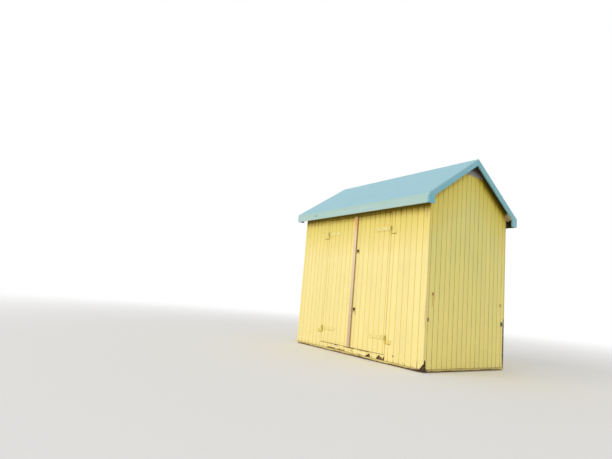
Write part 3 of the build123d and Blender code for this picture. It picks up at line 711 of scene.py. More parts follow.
def weathered_strip(name, low, high):
    """Bare hardwood, bleached pink-beige, between two corners of its box.

    Rain brings rust and tannin down from the eave, so its top is orange-brown, and it is darker towards its
    foot. Its last edge beside the right leaf has a painted shade, and the doors' paint laps over its left
    edge.
    """
    made, tree, place, split = new_finish(name)
    fibres = add(tree, "TexNoise", {
        "Vector": grain_place(tree, "Z"), "Scale": per_metre(3.333), "Detail": 5.0, "Roughness": 0.65,
    }).outputs["Fac"]
    patch = add(tree, "TexNoise", {"Vector": place, "Scale": per_metre(166.7), "Detail": 4.0}).outputs["Fac"]
    colour = layered(tree, linear("#DDBD97"), fibres, 0.3, 0.7, 1.0, "#FAE6BE")
    colour = layered(tree, colour, patch, 0.4, 0.65, 0.45, "#EBCFB6")
    ragged = add(tree, "Math", {0: fibres, 1: 100 * MM, 2: split[2]}, operation="MULTIPLY_ADD").outputs[0]
    colour = layered(tree, colour, ragged, high.z - 0.19, high.z - 0.06, 0.85, "#F0B062")
    colour = layered(tree, colour, ragged, low.z + 1.2, low.z + 0.2, 0.5, "#B8987A")
    lapped = add(tree, "Math", {0: split[0], 1: low.x + PAINT_LAP}, operation="LESS_THAN").outputs[0]
    colour = layered(tree, colour, lapped, 0.0, 1.0, 1.0, "#F8E396")
    # Painted shade on the side face beside the right leaf
    shaded_side = add(tree, "Math", {0: split[0], 1: high.x - SHADED_EDGE}, operation="GREATER_THAN").outputs[0]
    colour = layered(tree, colour, shaded_side, 0.0, 1.0, 0.9, "#B39A66")
    return finished(made, colour, fibres, 0.5, 0.5 * MM, {"Roughness": 0.65})


# %% [markdown]
# ## The finishes of this hut
# Each finish is one call with its colours. A stain that the photograph shows, or a painted shadow under the
# ironwork, is a row in a table: the axis across, where it starts and stops, its bottom and top, its strength
# and its colour. The rows are few and large, because a stain has to look right from near and far, and specks
# are left to the noise.

# %% Stains on the front
EAVE_LINE = 1.945
VERGE_LINE = ridge - (SHEET + DECK) / math.cos(pitch)
front_stains_and_shadows = [
    # A long bare mark near the top right, peeled paint on the corner, and a dark mark high on the left
    (0, 1.184, 1.204, 1.745, 1.845, 0.85, "#D9A080"),
    (0, 1.220, 1.232, 0.500, 0.800, 0.6, "#DDB98E"),
    (0, -1.160, -1.138, 1.645, 1.675, 0.5, "#A88A50"),
    # Painted shadow along the lower edge of each hinge plate
    (0, -0.716, -0.626, 0.228, 0.244, 0.9, "#C4A832"),
    (0, 0.646, 0.736, 0.228, 0.244, 0.9, "#C4A832"),
    (0, -0.716, -0.626, 1.582, 1.598, 0.9, "#A88C10"),
    (0, 0.646, 0.736, 1.582, 1.598, 0.9, "#A88C10"),
    # A nail, flakes and peeled lines near the foot, and a crack that runs up from one vee
    (0, 0.770, 0.790, 0.095, 0.124, 0.8, "#7A5A34"),
    (0, -0.646, -0.622, 0.088, 0.106, 0.7, "#8A6A44"),
    (0, -0.322, -0.286, 0.070, 0.090, 0.8, "#FBF2D8"),
    (0, -0.480, -0.290, 0.034, 0.056, 0.95, "#6A4424"),
    (0, -0.270, -0.080, 0.036, 0.054, 0.9, "#70491F"),
    (0, -0.600, -0.340, 0.092, 0.104, 0.5, "#A8793C"),
    (0, -0.330, -0.240, 0.086, 0.104, 0.9, "#8B6455"),
    (0, -0.130, 0.120, 0.088, 0.104, 0.9, "#8A6030"),
    (0, 0.140, 0.400, 0.090, 0.104, 0.9, "#80562C"),
    (0, 0.020, 0.060, 0.050, 0.090, 0.6, "#B58C4A"),
    (0, 1.140, 1.152, 0.040, 0.120, 0.7, "#8A6438"),
    (0, 0.140, 0.180, 0.060, 0.078, 0.8, "#FFF8E0"),
    (0, 0.230, 0.290, 0.050, 0.070, 0.8, "#FFF3DA"),
    (0, 0.170, 0.230, 0.036, 0.048, 0.8, "#6A4A26"),
]
print("stains on the front", len(front_stains_and_shadows))

# %% Stains on the right gable, the doors and the fascia
gable_stains = [
    # Four nails that weep rust, the first with a streak
    (1, -0.688, -0.656, 0.848, 0.892, 0.95, "#9A641E"),
    (1, -0.680, -0.662, 0.726, 0.858, 0.8, "#E29A40"),
    (1, -0.756, -0.718, 0.556, 0.604, 0.9, "#86742A"),
    (1, 0.664, 0.712, 0.798, 0.844, 0.8, "#C08E2E"),
    (1, 0.700, 0.746, 0.550, 0.612, 1.0, "#1E1A0A"),
    # The back edge, dark where the strip beside it has broken away
    (1, gable_high.y - 22 * MM, gable_high.y + 22 * MM, 0.040, 0.646, 1.0, "#352414"),
]
door_stains_and_shadows = [
    (0, 0.045, 0.085, 0.525, 0.575, 0.5, "#C9B070"),
    # Grease round the locks, and a painted shadow along the lower edge of each strap
    (0, 0.015, 0.069, 0.562, 0.632, 0.7, "#9C7C34"),
    (0, 0.017, 0.067, 1.350, 1.415, 0.7, "#9C7C34"),
    (0, -0.619, -0.330, 0.268, 0.284, 0.4, "#CDB04A"),
    (0, 0.350, 0.639, 0.268, 0.284, 0.4, "#C6A838"),
    (0, -0.619, -0.330, 1.622, 1.638, 0.3, "#CDB04A"),
    (0, 0.350, 0.639, 1.622, 1.638, 0.4, "#C6A838"),
]
fascia_stains = [
    (0, -0.870, -0.800, 1.936, 1.952, 1.0, "#6E8A62"),
    (0, -0.190, -0.140, 1.966, 1.980, 0.35, "#C9A98A"),
    (0, -0.020, 0.060, 1.968, 1.984, 0.4, "#CBA582"),
    (0, 0.480, 0.620, 1.972, 1.986, 0.35, "#C8B094"),
]
print("stains elsewhere", len(gable_stains) + len(door_stains_and_shadows) + len(fascia_stains))

# %% Board paints
# Yellow gloss paint, brushed on planed softwood and chalked: satin and pale, with golden vees. It gives the
# front and the doors their soft even glow.
front_paint = board_paint(
    "yellow_gloss_front", "#FDEA99", "#EEE000", EAVE_LINE, 0.0, foot_dirt=0.25, stains_and_shadows=front_stains_and_shadows,
)
door_paint = board_paint(
    "yellow_gloss_doors", "#FDEA99", "#EEE000", EAVE_LINE, 0.0, foot_dirt=0.15, stains_and_shadows=door_stains_and_shadows,
)
# The same paint on the gables and the back, where a painted shade makes it deeper and greener towards the
# top, and the vees are dark with dirt that no sun dries.
gable_paint = board_paint(
    "yellow_gloss_gable", "#FFEE88", "#524500", VERGE_LINE, slope, shade_and_mould_depth=55 * MM, painted_green_shade=0.35, foot_dirt=0.2,
    stains_and_shadows=gable_stains,
)
plain_paint = board_paint(
    "yellow_gloss_back", "#FFEE88", "#8C7A28", VERGE_LINE, slope, shade_and_mould_depth=55 * MM, painted_green_shade=0.25, foot_dirt=0.2,
)
print("board paints", [made.name for made in (front_paint, door_paint, gable_paint, plain_paint)])

# %% Bare timbers
MOULD_AND_SHADE = "#33251B"
BLACK_PAINTED_SHADE = "#1E1812"
SAWN = "#B98F5E", "#7B5733"
# Sawn softwood, unpainted: matt and fibrous, warm brown, with the grain along each timber
beam_wood = softwood("sawn_softwood_beams", *SAWN, "X")
cross_wood = softwood("sawn_softwood_cross_timbers", *SAWN, "Y")
ring_wood = softwood("sawn_softwood_middle_rails", *SAWN, "level")
left_brace_wood = softwood("sawn_softwood_left_braces", *SAWN, "left_brace")
right_brace_wood = softwood("sawn_softwood_right_braces", *SAWN, "right_brace")
# Sawn softwood that stands in the damp: redder, and black with mould at the foot
rail_wood = softwood("damp_bottom_rails", "#9E6C4A", "#6E4830", "X", turned_by=[(0.30, 0.06, 0.2, MOULD_AND_SHADE)])
post_wood = softwood("sawn_softwood_posts", *SAWN, "Z", turned_by=[(0.30, 0.06, 0.6, MOULD_AND_SHADE)])
# Rafters: a near-white colour that paints in the light on their tails in the eave, with black painted shade
# at the lower ends
rafter_wood = softwood(
    "pale_rafters_painted_light_and_shade", "#FFEBC4", "#DCC296", "slope", grey=0.1,
    turned_by=[(EAVE_LINE + 35 * MM, EAVE_LINE + 20 * MM, 0.97, BLACK_PAINTED_SHADE)],
)
# Roof boards painted nearly black brown as painted shade under the roof, apart from the last one, which is
# pale as painted light at the eave
deck_wood = softwood(
    "shaded_roof_boards", "#57432F", "#2E2218", "level_slope",
    turned_by=[(EAVE_LINE + 125 * MM, EAVE_LINE + 100 * MM, 0.95, "#FFE8C0")],
)
# Floor boards, sanded by feet and sand: paler and greyer than the frame
floor_wood = softwood("sanded_floor_softwood", "#C7AE86", "#967650", "X", grey=0.35)
# Apex boards, never painted: silver grey, with painted shade at the top under the roof
apex_wood = softwood(
    "weathered_apex_boards", "#DAD8C8", "#A39A86", "Y", grey=0.3,
    turned_by=[(apex_high.z - 170 * MM, apex_high.z - 90 * MM, 0.9, MOULD_AND_SHADE)],
)
# Bare hardwood, bleached: a pale pink-beige line down the middle of the doors
strip_low, strip_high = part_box("meeting_strip")
strip_wood = weathered_strip("bare_meeting_strip", strip_low, strip_high)
print("materials so far", len(bpy.data.materials))

# %% Painted trim
# Near-black painted shade for the inner faces of the barge boards and fascias
PAINTED_SHADE_BACK = "#2B2119"
FACE_DEPTH = 2.3 * MM
# Yellow gloss worn through by blown sand: dull, with bare wood in broad patches
sole_paint = trim_paint("worn_yellow_sole_paint", "#E3D27C", "#B9A368", "X", wear=0.8)
cross_sole_paint = trim_paint("worn_yellow_gable_sole_paint", "#D9C874", "#A89358", "Y", wear=0.8)
# Thin sheet covering under pale blue paint: a broad, even satin face that mirrors the sky
roof_paint = trim_paint(
    "pale_blue_roof_paint", "#8FC3CF", "#9DCAD1", "level_slope", wear=0.6, rough=0.5,
    inner=(2, sheet_low.z + SHEET_LIP - 1 * MM, "#AACBC3"),
)
# Blue gloss on the barge boards: deeper than the roof, so that the verge stands out as a band
barge_paint = trim_paint(
    "blue_barge_paint", "#76BECC", "#98C8CE", "slope", wear=0.7,
    inner=(0, deck_high.x + FACE_DEPTH, PAINTED_SHADE_BACK),
)
# Pale blue-green gloss on the fascias, with rust and moss where the eave drips
fascia_back = (1, FACE_DEPTH - deck_low.y, PAINTED_SHADE_BACK)
fascia_paint, back_fascia_paint = (
    trim_paint(name, "#AACBC3", "#BAD4C8", "X", wear=0.6, inner=fascia_back, stains_and_shadows=stains_and_shadows)
    for name, stains_and_shadows in (("pale_front_fascia_paint", fascia_stains), ("pale_back_fascia_paint", ()))
)
print("materials so far", len(bpy.data.materials))

# %% Ironwork
# Forged steel under the walls' yellow paint: it nearly vanishes, but turns a darker olive where the straps go
# round the pin
strap_paint = rusty_metal(
    "painted_straps_darker_at_pin", "#F2E28E", "#8F6A2C", 0.10, darker_from=front_face - 6 * MM,
)
hinge_paint = rusty_metal("yellow_painted_steel", "#EEDA78", "#8F6A2C", 0.10)
# Rusted steel without paint: small dark accents
lock_steel = rusty_metal("dark_rusted_steel", "#332920", "#4A301C", 0.6, rough=0.7, metallic=0.3)
# Nail heads painted over: they show only as faint domes with a little rust
nail_paint = rusty_metal("painted_nail_heads", "#F2E08C", "#9A6A34", 0.25)
roof_nail_paint = rusty_metal("painted_roof_nails", "#9CC6CF", "#7A5A40", 0.2)
print("materials", len(bpy.data.materials))

# %% [markdown]
# ## Walls
# The front joints lie on one grid that runs on across both doors, because the leaves were cut from the same
# boarding. The gable joints have their own grid. Each run is cut at its ends to whatever width is left. Where
# the frame's wall has rotted away, the boards' ends follow the same outline with a torn edge. A boolean cut
# would leave it as clean as a saw does, so each end's height is a function of the place across instead.

# %% Where each face lies
FRONT_JOINT_INSET = 86.3 * MM
GABLE_JOINT_INSET = 50.7 * MM
front_joint = right_face - FRONT_JOINT_INSET
gable_joint = front_face + GABLE_JOINT_INSET


def on_front(across, out, up):
    """Across is +X, out is -Y."""
    return across, front_face - out, up


def on_back(across, out, up):
    """Across is +X, out is +Y."""
    return across, back_high.y + out, up


def on_right(across, out, up):
    """Across is +Y, out is +X."""
    return right_face + out, across, up


def on_left(across, out, up):
    """Across is +Y, out is -X."""
    return -right_face - out, across, up


print("joints at x", round(front_joint, 4), "and y", round(gable_joint, 4), "and every", BOARD_COVER)


# %% Level and torn ends
def flat(height):
    """A level end."""
    return lambda across: np.full(np.shape(across), height)


def torn(inset, places, rises, across, size, seed):
    """An end that lies above the soles by rises at places, in mm of inset, and is torn where it is raised.

    The tears are the sum of three sines of unlike lengths, so that no tip is like the next.
    """
    rise = np.interp(inset / MM, places, rises)
    tears = np.sin(across * 2100 + seed) + 0.6 * np.sin(across * 3700 + 2 * seed) + 0.4 * np.sin(across * 911)
    return sole_top + rise * MM + np.where(rise > 0, size * tears, 0)


def rotten_near(end, reach):
    """A mark that is 1 at a raised end and falls to 0 over the reach above it."""
    def mark(across, up):
        raised = np.clip((end(across) - sole_top) / (6 * MM), 0, 1)
        return raised * np.clip(1 - (up - end(across)) / reach, 0, 1)
    return mark


# %% One wall
def board_wall(name, node, paint, joint, put, low=None, high=None, fine=(), rotten=0.0, body="root"):
    """Cuts one CAD slab into boards and takes its place. Its ends are level unless low or high is given.

    Above a torn lower end the wood is rotten over the given reach. A body other than the root is a door.
    """
    box_low, box_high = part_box(node)
    axis = 0 if put in (on_front, on_back) else 1
    shells = run_of_boards(
        box_low[axis], box_high[axis], joint, low or flat(box_low.z), high or flat(box_high.z), put,
        fine=fine, rot=rotten_near(low, rotten) if rotten else None,
    )
    make_piece(name, shells, body, paint, [node])


# %% Front wall
def corner_end(across):
    """The rotted corner, which climbs towards the hut's right edge."""
    return torn(right_face - across, [0, 12, 22, 34, 44, 50], [56, 44, 30, 16, 6, 0], across, 1.6 * MM, 1.3)


TIP_PLACES = [0, 9, 16, 24, 38, 46, 58, 72, 86, 96, 106, 116, 126, 138,
              238, 246, 254, 262, 272, 290, 305, 320, 334]
TIP_RISES = [52, 46, 30, 18, 18, 30, 34, 40, 54, 52, 38, 30, 22, 0,
             0, 20, 44, 47, 38, 30, 20, 10, 0]


def tip_end(across):
    """The rotted tips under the right door: a notch at the jamb, a gap with a peak, and a slanted bite."""
    return torn(under_high.x - across, TIP_PLACES, TIP_RISES, across, 1.5 * MM, 4.1)


ragged_tips = [under_high.x - inset * MM for inset in (10, 50, 96, 130, 250, 262, 300, 325)]
board_wall("front_boards_left", "front_wall_left", front_paint, front_joint, on_front)
board_wall("front_boards_right", "front_wall_right", front_paint, front_joint, on_front,
           low=corner_end, fine=[right_face - 20 * MM], rotten=8 * MM)
board_wall("front_boards_over_doors", "front_wall_over_doors", front_paint, front_joint, on_front)
board_wall("front_boards_under_doors", "front_wall_under_doors", front_paint, front_joint, on_front,
           low=tip_end, fine=ragged_tips, rotten=6 * MM)


# %% Gables and back
def gable_top(across):
    """Under the roof boards, and level below the ridge."""
    return np.minimum(roof_under(across, SHEET + DECK), apex_low.z)


def split_end(across):
    """The right gable's first board, whose edge has split off above the rotted corner."""
    inset = across - gable_low.y
    return torn(inset, [0, 14, 20, 23, 25, 27], [100, 97, 88, 60, 20, 0], across, 1.4 * MM, 2.2)


BROKEN_STRIP = 602


def back_foot(across):
    """The back's right edge, where a strip as wide as a finger has broken away."""
    return torn(back_high.x - across, [0, 19, 21, 23], [BROKEN_STRIP, 598, 300, 0], across, 2.0 * MM, 3.3)


TOP_CORNERS = [-0.24, 0.24]
board_wall("right_gable_boards", "right_gable_wall", gable_paint, gable_joint, on_right,
           low=split_end, high=gable_top, fine=[gable_low.y + 10 * MM, *TOP_CORNERS], rotten=6 * MM)
board_wall("left_gable_boards", "left_gable_wall", plain_paint, gable_joint, on_left,
           high=gable_top, fine=TOP_CORNERS)
board_wall("back_boards", "back_wall", plain_paint, front_joint, on_back,
           low=back_foot, fine=[back_high.x - 20 * MM], rotten=14 * MM)

# %% The broken strip's tongue, black with rot, which is left beside the gable
TONGUE_REACH = 1.5 * MM
TONGUE_FRAY = 1.2 * MM
TONGUE_WIDTH = 22 * MM
tongue_top = sole_top + 600 * MM
up = np.linspace(sole_top, tongue_top, 60)
edge = back_high.x - TONGUE_REACH - TONGUE_FRAY * (1 + np.sin(up * 130) * np.sin(up * 47))
inner_edge = back_high.x - TONGUE_WIDTH
outline = np.concatenate([[[inner_edge, tongue_top], [inner_edge, sole_top]], np.stack([edge, up], 1)])
tongue = slab(
    outline, -BOARD + 0.5 * MM, -1 * MM, lambda x, z, out: on_back(x, out, z), arris=0.6 * MM, rot=1.0,
)
make_piece("torn_back_edge", [tongue], "root", plain_paint)

# %% [markdown]
# ## Doors
# Each leaf is the same boarding, nailed to three ledges. The leaf's own boards are cut on the wall's grid, so
# the joints run on over the gap. All that belongs to a leaf rides on its body and swings with it, so nothing
# here is placed for one pose.

# %% Leaves
for body in ("left_door", "right_door"):
    name = body.replace("door", "leaf_boards")
    board_wall(name, body, door_paint, front_joint, on_front, body=body)

# %% [markdown]
# ## Nails and bolts
# Cut nails hold every board to each rail behind it. They were driven before painting, so they show only as
# small domes under the paint. A bump could draw them, but a real dome catches light from any side, and 18
# faces are enough for one. The straps and plates of the hinges are held by round-headed bolts.

# %% Nail heads
NAIL_RADIUS, NAIL_DOME = 3.0, 0.9
BOLT_RADIUS, BOLT_DOME = 8.0, 3.6
NARROW_BOARD = 30 * MM
nail_profile = np.array([(NAIL_RADIUS, -1.0), (NAIL_RADIUS, 0.3), (0.6 * NAIL_RADIUS, NAIL_DOME)]) * MM
bolt_profile = np.array([
    (BOLT_RADIUS, -0.5), (BOLT_RADIUS, 0.5), (0.9 * BOLT_RADIUS, 0.5 * BOLT_DOME),
    (0.6 * BOLT_RADIUS, 0.86 * BOLT_DOME), (0.2 * BOLT_RADIUS, BOLT_DOME),
]) * MM


def facing(profile, axis, outward):
    """A turned head that looks along the axis, forwards or backwards."""
    return turned(profile * (1, outward), axis, around=8 if profile is nail_profile else 20)


def nail_places(left, right, joint, heights, put, sides=(0.0,)):
    """One nail a board at each height, or one at each share of the board's width from its middle."""
    edges = np.array(board_edges(left, right, joint))
    middles = (edges[1:] + edges[:-1]) / 2
    wide = edges[1:] - edges[:-1]
    middles, wide = middles[wide > NARROW_BOARD], wide[wide > NARROW_BOARD]
    return [put(x + side * w, 0.0, z) for x, w in zip(middles, wide) for z in heights for side in sides]


# %% Nails of the walls
rails = [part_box(name) for name in ("bottom_rails_long", "mid_rails", "wall_plates")]
rail_heights = [(low.z + high.z) / 2 for low, high in rails]
front_nail = facing(nail_profile, "Y", -1)
make_piece(
    "front_wall_nails",
    [repeated(front_nail, nail_places(low.x, high.x, front_joint, rail_heights, on_front))
     for low, high in ((left_wall_low, left_wall_high), (right_wall_low, right_wall_high))],
    "root", nail_paint,
)
nailed = [
    ("X", 1, gable_low.y, gable_high.y, gable_joint, on_right),
    ("X", -1, gable_low.y, gable_high.y, gable_joint, on_left),
    ("Y", 1, back_low.x, back_high.x - 25 * MM, front_joint, on_back),
]
make_piece(
    "gable_and_back_nails",
    [repeated(facing(nail_profile, axis, outward), nail_places(start, stop, joint, rail_heights, put))
     for axis, outward, start, stop, joint, put in nailed],
    "root", nail_paint,
)

# %% Nails and bolts of the doors
STRAP = 4 * MM
STRAP_BOLTS = (55 * MM, 150 * MM, 262 * MM)
PLATE_BOLTS = (24 * MM, 76 * MM)
PLATE_HEIGHT = 40 * MM
NAIL_PAIR = 28 * MM
NAIL_SHARE = 0.22
STRAP_CLEAR = 34 * MM
bolt = facing(bolt_profile, "Y", -1)
for joint, toward in zip(frame["joints"], (1, -1)):
    body = joint["child"]
    leaf_low, leaf_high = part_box(body)
    ledge_low, ledge_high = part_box(f"{body}_ledges")
    low_ledge, high_ledge = ledge_low.z + LEDGE_WIDTH / 2, ledge_high.z - LEDGE_WIDTH / 2
    ledges = [low_ledge, (leaf_low.z + leaf_high.z) / 2, high_ledge]
    heights = [z + offset for z in ledges for offset in (-NAIL_PAIR, NAIL_PAIR)]
    places = nail_places(
        leaf_low.x, leaf_high.x, front_joint, heights, on_front, sides=(-NAIL_SHARE, NAIL_SHARE),
    )
    # No nail goes through the meeting strip, which is on the left leaf, or under a strap
    strip_from = strip_low.x if body == "left_door" else leaf_high.x
    clear = [(x, y, z) for x, y, z in places
             if x <= strip_from and min(abs(z - low_ledge), abs(z - high_ledge)) >= STRAP_CLEAR]
    make_piece(f"{body}_nails", [repeated(front_nail, clear)], body, nail_paint)

    bolts = [(joint["pos_m"][0] + toward * step, front_face - STRAP, z)
             for z in (low_ledge, high_ledge) for step in STRAP_BOLTS]
    name = body.replace("door", "strap_bolts")
    make_piece(name, [repeated(bolt, bolts)], body, hinge_paint)

pintle_low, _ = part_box("pintles")
low_plate = pintle_low.z + PLATE_HEIGHT / 2
plate_levels = (low_plate, low_plate + high_ledge - low_ledge)
bolts = [(x + out * step, front_face - STRAP, z)
         for x, out in ((under_low.x, -1), (under_high.x, 1)) for z in plate_levels for step in PLATE_BOLTS]
make_piece("pintle_bolts", [repeated(bolt, bolts)], "root", hinge_paint)

# %% [markdown]
# ## Base and floor
# The soles are flat planks that the sea air and the sand have worn: their lower edge is nibbled, and below it
# they are undercut, which shows as a black line along the ground. The front one has rotted through at the
# corner. Sculpting could do this by hand, but a few sines along the plank give the same wear and stay easy to
# change. The floor is boarded along the hut, with its outer boards notched round the posts.

# %% A worn plank
SOLE_WIDTH = 110 * MM
UNDERCUT_HEIGHT = 12 * MM
UNDERCUT_DEPTH = 16 * MM
sole_low, sole_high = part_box("soles_long")
cross_low, cross_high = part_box("soles_short")


def nibbled(along, seed):
    """How far a worn edge has gone, 0 to 1: the product of two slow sines and a quick one, kept above 0."""
    slow = np.sin(along * 5.3 + seed) * np.sin(along * 11.9 + 2.1 * seed)
    return np.clip(0.35 + 0.9 * slow + 0.25 * np.sin(along * 61 + seed), 0, 1)


def worn_plank(start, stop, put, seed, cut=None, decay=None, stations=160):
    """A plank whose outer lower edge is nibbled: a section of (inset, height), carried along.

    Inset is measured from the outer face. The edge rises by up to 7 mm and goes back by up to 4 mm. Cut gives
    a least inset for each place along, and decay a height below which the wood there is rotten.
    """
    along = np.linspace(start, stop, stations)[:, None]
    worn = nibbled(along, seed)
    lift = UNDERCUT_HEIGHT + 7 * MM * worn
    back = 4 * MM * worn
    zero = 0 * along
    section = [
        (3 * MM + zero, sole_top + zero), (0.6 * MM + zero, sole_top - 2 * MM + zero),
        (0.2 * back, sole_top - 5 * MM + zero), (0.4 * back, (sole_top + lift) / 2),
        (0.6 * back, lift + 2 * MM), (back + 2 * MM, lift),
        (UNDERCUT_DEPTH + 6 * MM + zero, UNDERCUT_HEIGHT + zero), (SOLE_WIDTH + zero, UNDERCUT_HEIGHT + zero),
        (SOLE_WIDTH + zero, sole_top + zero),
    ]
    inset, height = (np.concatenate(column, 1) for column in zip(*section))
    rot = 0 * inset
    if cut is not None:
        least = cut(along)
        rot = np.clip((least - inset) / (2 * MM) + 0.5, 0, 1) * (least > 0)
        inset = np.maximum(inset, least)
    if decay is not None:
        rot = np.maximum(rot, np.clip((decay(along) - height) / (5 * MM) + 0.5, 0, 1) * (inset < 30 * MM))
    return capped(np.stack(put(np.broadcast_to(along, inset.shape), inset, height), -1), rot=rot)


# %% Where the front sole has rotted
ROT_LENGTH, ROT_DEPTH = 42 * MM, 46 * MM
DECAY_PLACES = np.array([0.10, 0.19, 0.29, 0.42, 0.50, 0.80, 1.00, 1.10, 1.16, 1.19])
DECAY_HEIGHTS = np.array([0.0, 27, 20, 14, 0, 0, 17, 23, 29, 40]) * MM


def corner_cut(along):
    """The rotted end: a straight cut across the corner, less a few millimetres of raggedness."""
    share = (along - (sole_high.x - ROT_LENGTH)) / ROT_LENGTH
    return np.where(share > 0, ROT_DEPTH * share + 1.5 * MM * np.sin(along * 900), 0)


def front_decay(along):
    """Where the front sole is black: under the right door, and up to its whole height at the corner."""
    return np.interp(along, DECAY_PLACES, DECAY_HEIGHTS) + 2 * MM * np.sin(along * 310)


# %% Soles
UNDER_TOP = UNDERCUT_HEIGHT - 0.2 * MM


def as_plan(x, y, z):
    """A slab that lies flat: its outline is in X and Y."""
    return x, y, z


front_sole = worn_plank(
    sole_low.x, sole_high.x, lambda a, i, h: (a, sole_low.y + i, h), 0.4,
    cut=corner_cut, decay=front_decay, stations=320,
)
back_sole = worn_plank(sole_low.x, sole_high.x, lambda a, i, h: (a, sole_high.y - i, h), 1.7)
make_piece("worn_long_soles", [front_sole, back_sole], "root", sole_paint, ["soles_long"])
left, right = sole_low.x + UNDERCUT_DEPTH, sole_high.x - UNDERCUT_DEPTH
near, far = sole_low.y + UNDERCUT_DEPTH, sole_high.y - UNDERCUT_DEPTH
rotted_plan = [
    (left, near), (sole_high.x - ROT_LENGTH, near), (right, sole_low.y + ROT_DEPTH),
    (right, sole_low.y + SOLE_WIDTH), (left, sole_low.y + SOLE_WIDTH),
]
plans = [rotted_plan, rectangle(left, sole_high.y - SOLE_WIDTH, right, far)]
make_piece(
    "undercut_of_long_soles", [slab(plan, 0.0, UNDER_TOP, as_plan) for plan in plans],
    "root", rail_wood,
)
side_soles = [
    worn_plank(cross_low.y, cross_high.y, put, seed, stations=90)
    for put, seed in (
        (lambda a, i, h: (cross_high.x - i, a, h), 2.9), (lambda a, i, h: (cross_low.x + i, a, h), 4.3),
    )
]
make_piece("worn_side_soles", side_soles, "root", cross_sole_paint, ["soles_short"])
plans = [
    rectangle(start, cross_low.y, start + SOLE_WIDTH - UNDERCUT_DEPTH, cross_high.y)
    for start in (cross_low.x + UNDERCUT_DEPTH, cross_high.x - SOLE_WIDTH)
]
make_piece(
    "undercut_of_side_soles", [slab(plan, 0.0, UNDER_TOP, as_plan) for plan in plans],
    "root", rail_wood,
)

# %% Floor boards
FLOOR_BOARDS = 16
FLOOR_GAP = 1.5 * MM
POST = 50 * MM
NOTCH_FIT = 2 * MM
floor_low, floor_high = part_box("floor")
post_low, post_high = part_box("corner_posts")
jamb_low, jamb_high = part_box("door_posts")
notch_line = post_low.y + POST + NOTCH_FIT
clear_left = post_low.x + POST + NOTCH_FIT
clear_right = post_high.x - POST - NOTCH_FIT
front_teeth = [
    (clear_left, jamb_low.x - NOTCH_FIT),
    (jamb_low.x + POST + NOTCH_FIT, jamb_high.x - POST - NOTCH_FIT),
    (jamb_high.x + NOTCH_FIT, clear_right),
]
floor_edges = np.linspace(floor_low.y, floor_high.y, FLOOR_BOARDS + 1)


def notched(near, far, teeth):
    """A board whose near edge reaches out only at its teeth, between the notches for the posts."""
    outline = [(floor_low.x, notch_line)]
    for start, stop in teeth:
        outline += [(start, notch_line), (start, near), (stop, near), (stop, notch_line)]
    return np.array(outline + [(floor_high.x, notch_line), (floor_high.x, far), (floor_low.x, far)])


boards = []
for n, (near, far) in enumerate(zip(floor_edges, floor_edges[1:])):
    outline = rectangle(floor_low.x, near, floor_high.x, far - FLOOR_GAP)
    if n == 0:
        outline = notched(near, far - FLOOR_GAP, front_teeth)
    elif n == FLOOR_BOARDS - 1:
        outline = (notched(-far, -near, [(clear_left, clear_right)]) * (1, -1))[::-1]
    boards.append(slab(outline, floor_low.z, floor_high.z, as_plan, tone=chance.random()))
make_piece("floor_boards", boards, "root", floor_wood, ["floor"])

# %% Floor nails, over the joists
JOISTS = (-0.6, 0.0, 0.6)
NAIL_INSET = 22 * MM
rows = np.concatenate([floor_edges[:-1] + NAIL_INSET, floor_edges[1:] - NAIL_INSET])
heads = [(x, y, floor_high.z) for y in rows for x in JOISTS]
make_piece(
    "floor_nails", [repeated(facing(nail_profile, "Z", 1), heads)], "root", lock_steel,
)

# %% [markdown]
# ## Roof
# Boards lie level across the rafters, each slope with a plumb cut at the eave and a mitre at the ridge. The
# covering is a thin painted sheet, dressed over the boards while it was soft, so it dips slightly between
# them, with its edge turned down over the fascia and the barge boards and held by broad-headed nails. Cloth
# could be dropped on the boards, but the sheet is stiff now, so its dips are a product of sines.

# %% Roof boards
ROOF_BOARDS = 7
ROOF_GAP = 3 * MM
DRESSING = 0.9 * MM
SLOPES = ((-1, "front"), (1, "back"))
half_depth = -deck_low.y
deck_length = half_depth / math.cos(pitch)


def on_slope(side):
    """Places a point by its way down the slope, its depth under the roof's top and its place along X."""
    def put(down, deep, along):
        y = down * math.cos(pitch) - deep * math.sin(pitch)
        return along, side * y, ridge - down * math.sin(pitch) - deep * math.cos(pitch)
    return put


def roof_board_section(start, stop, first, last):
    """Four corners of (down, deep): square to the slope, or plumb where the board ends at ridge or eave."""
    top, under = SHEET + DRESSING, SHEET + DECK
    mitre = [deep * slope for deep in (top, under)] if first else [start, start]
    eave = [deck_length + deep * slope for deep in (top, under)] if last else [stop, stop]
    return [(mitre[0], top), (eave[0], top), (eave[1], under), (mitre[1], under)]


for side, name in SLOPES:
    edges = np.linspace(0, deck_length, ROOF_BOARDS + 1)
    shells = []
    for n, (start, stop) in enumerate(zip(edges, edges[1:])):
        section = roof_board_section(start + ROOF_GAP / 2, stop - ROOF_GAP / 2, n == 0, n == ROOF_BOARDS - 1)
        shells.append(slab(
            eased(section, 1.2 * MM), deck_low.x, deck_high.x, on_slope(side), tone=chance.random(),
        ))
    make_piece(f"{name}_roof_boards", shells, "root", deck_wood, [f"{name}_roof_deck"])

# %% Roof covering
BEND = 4 * MM
DIP = 0.4 * MM


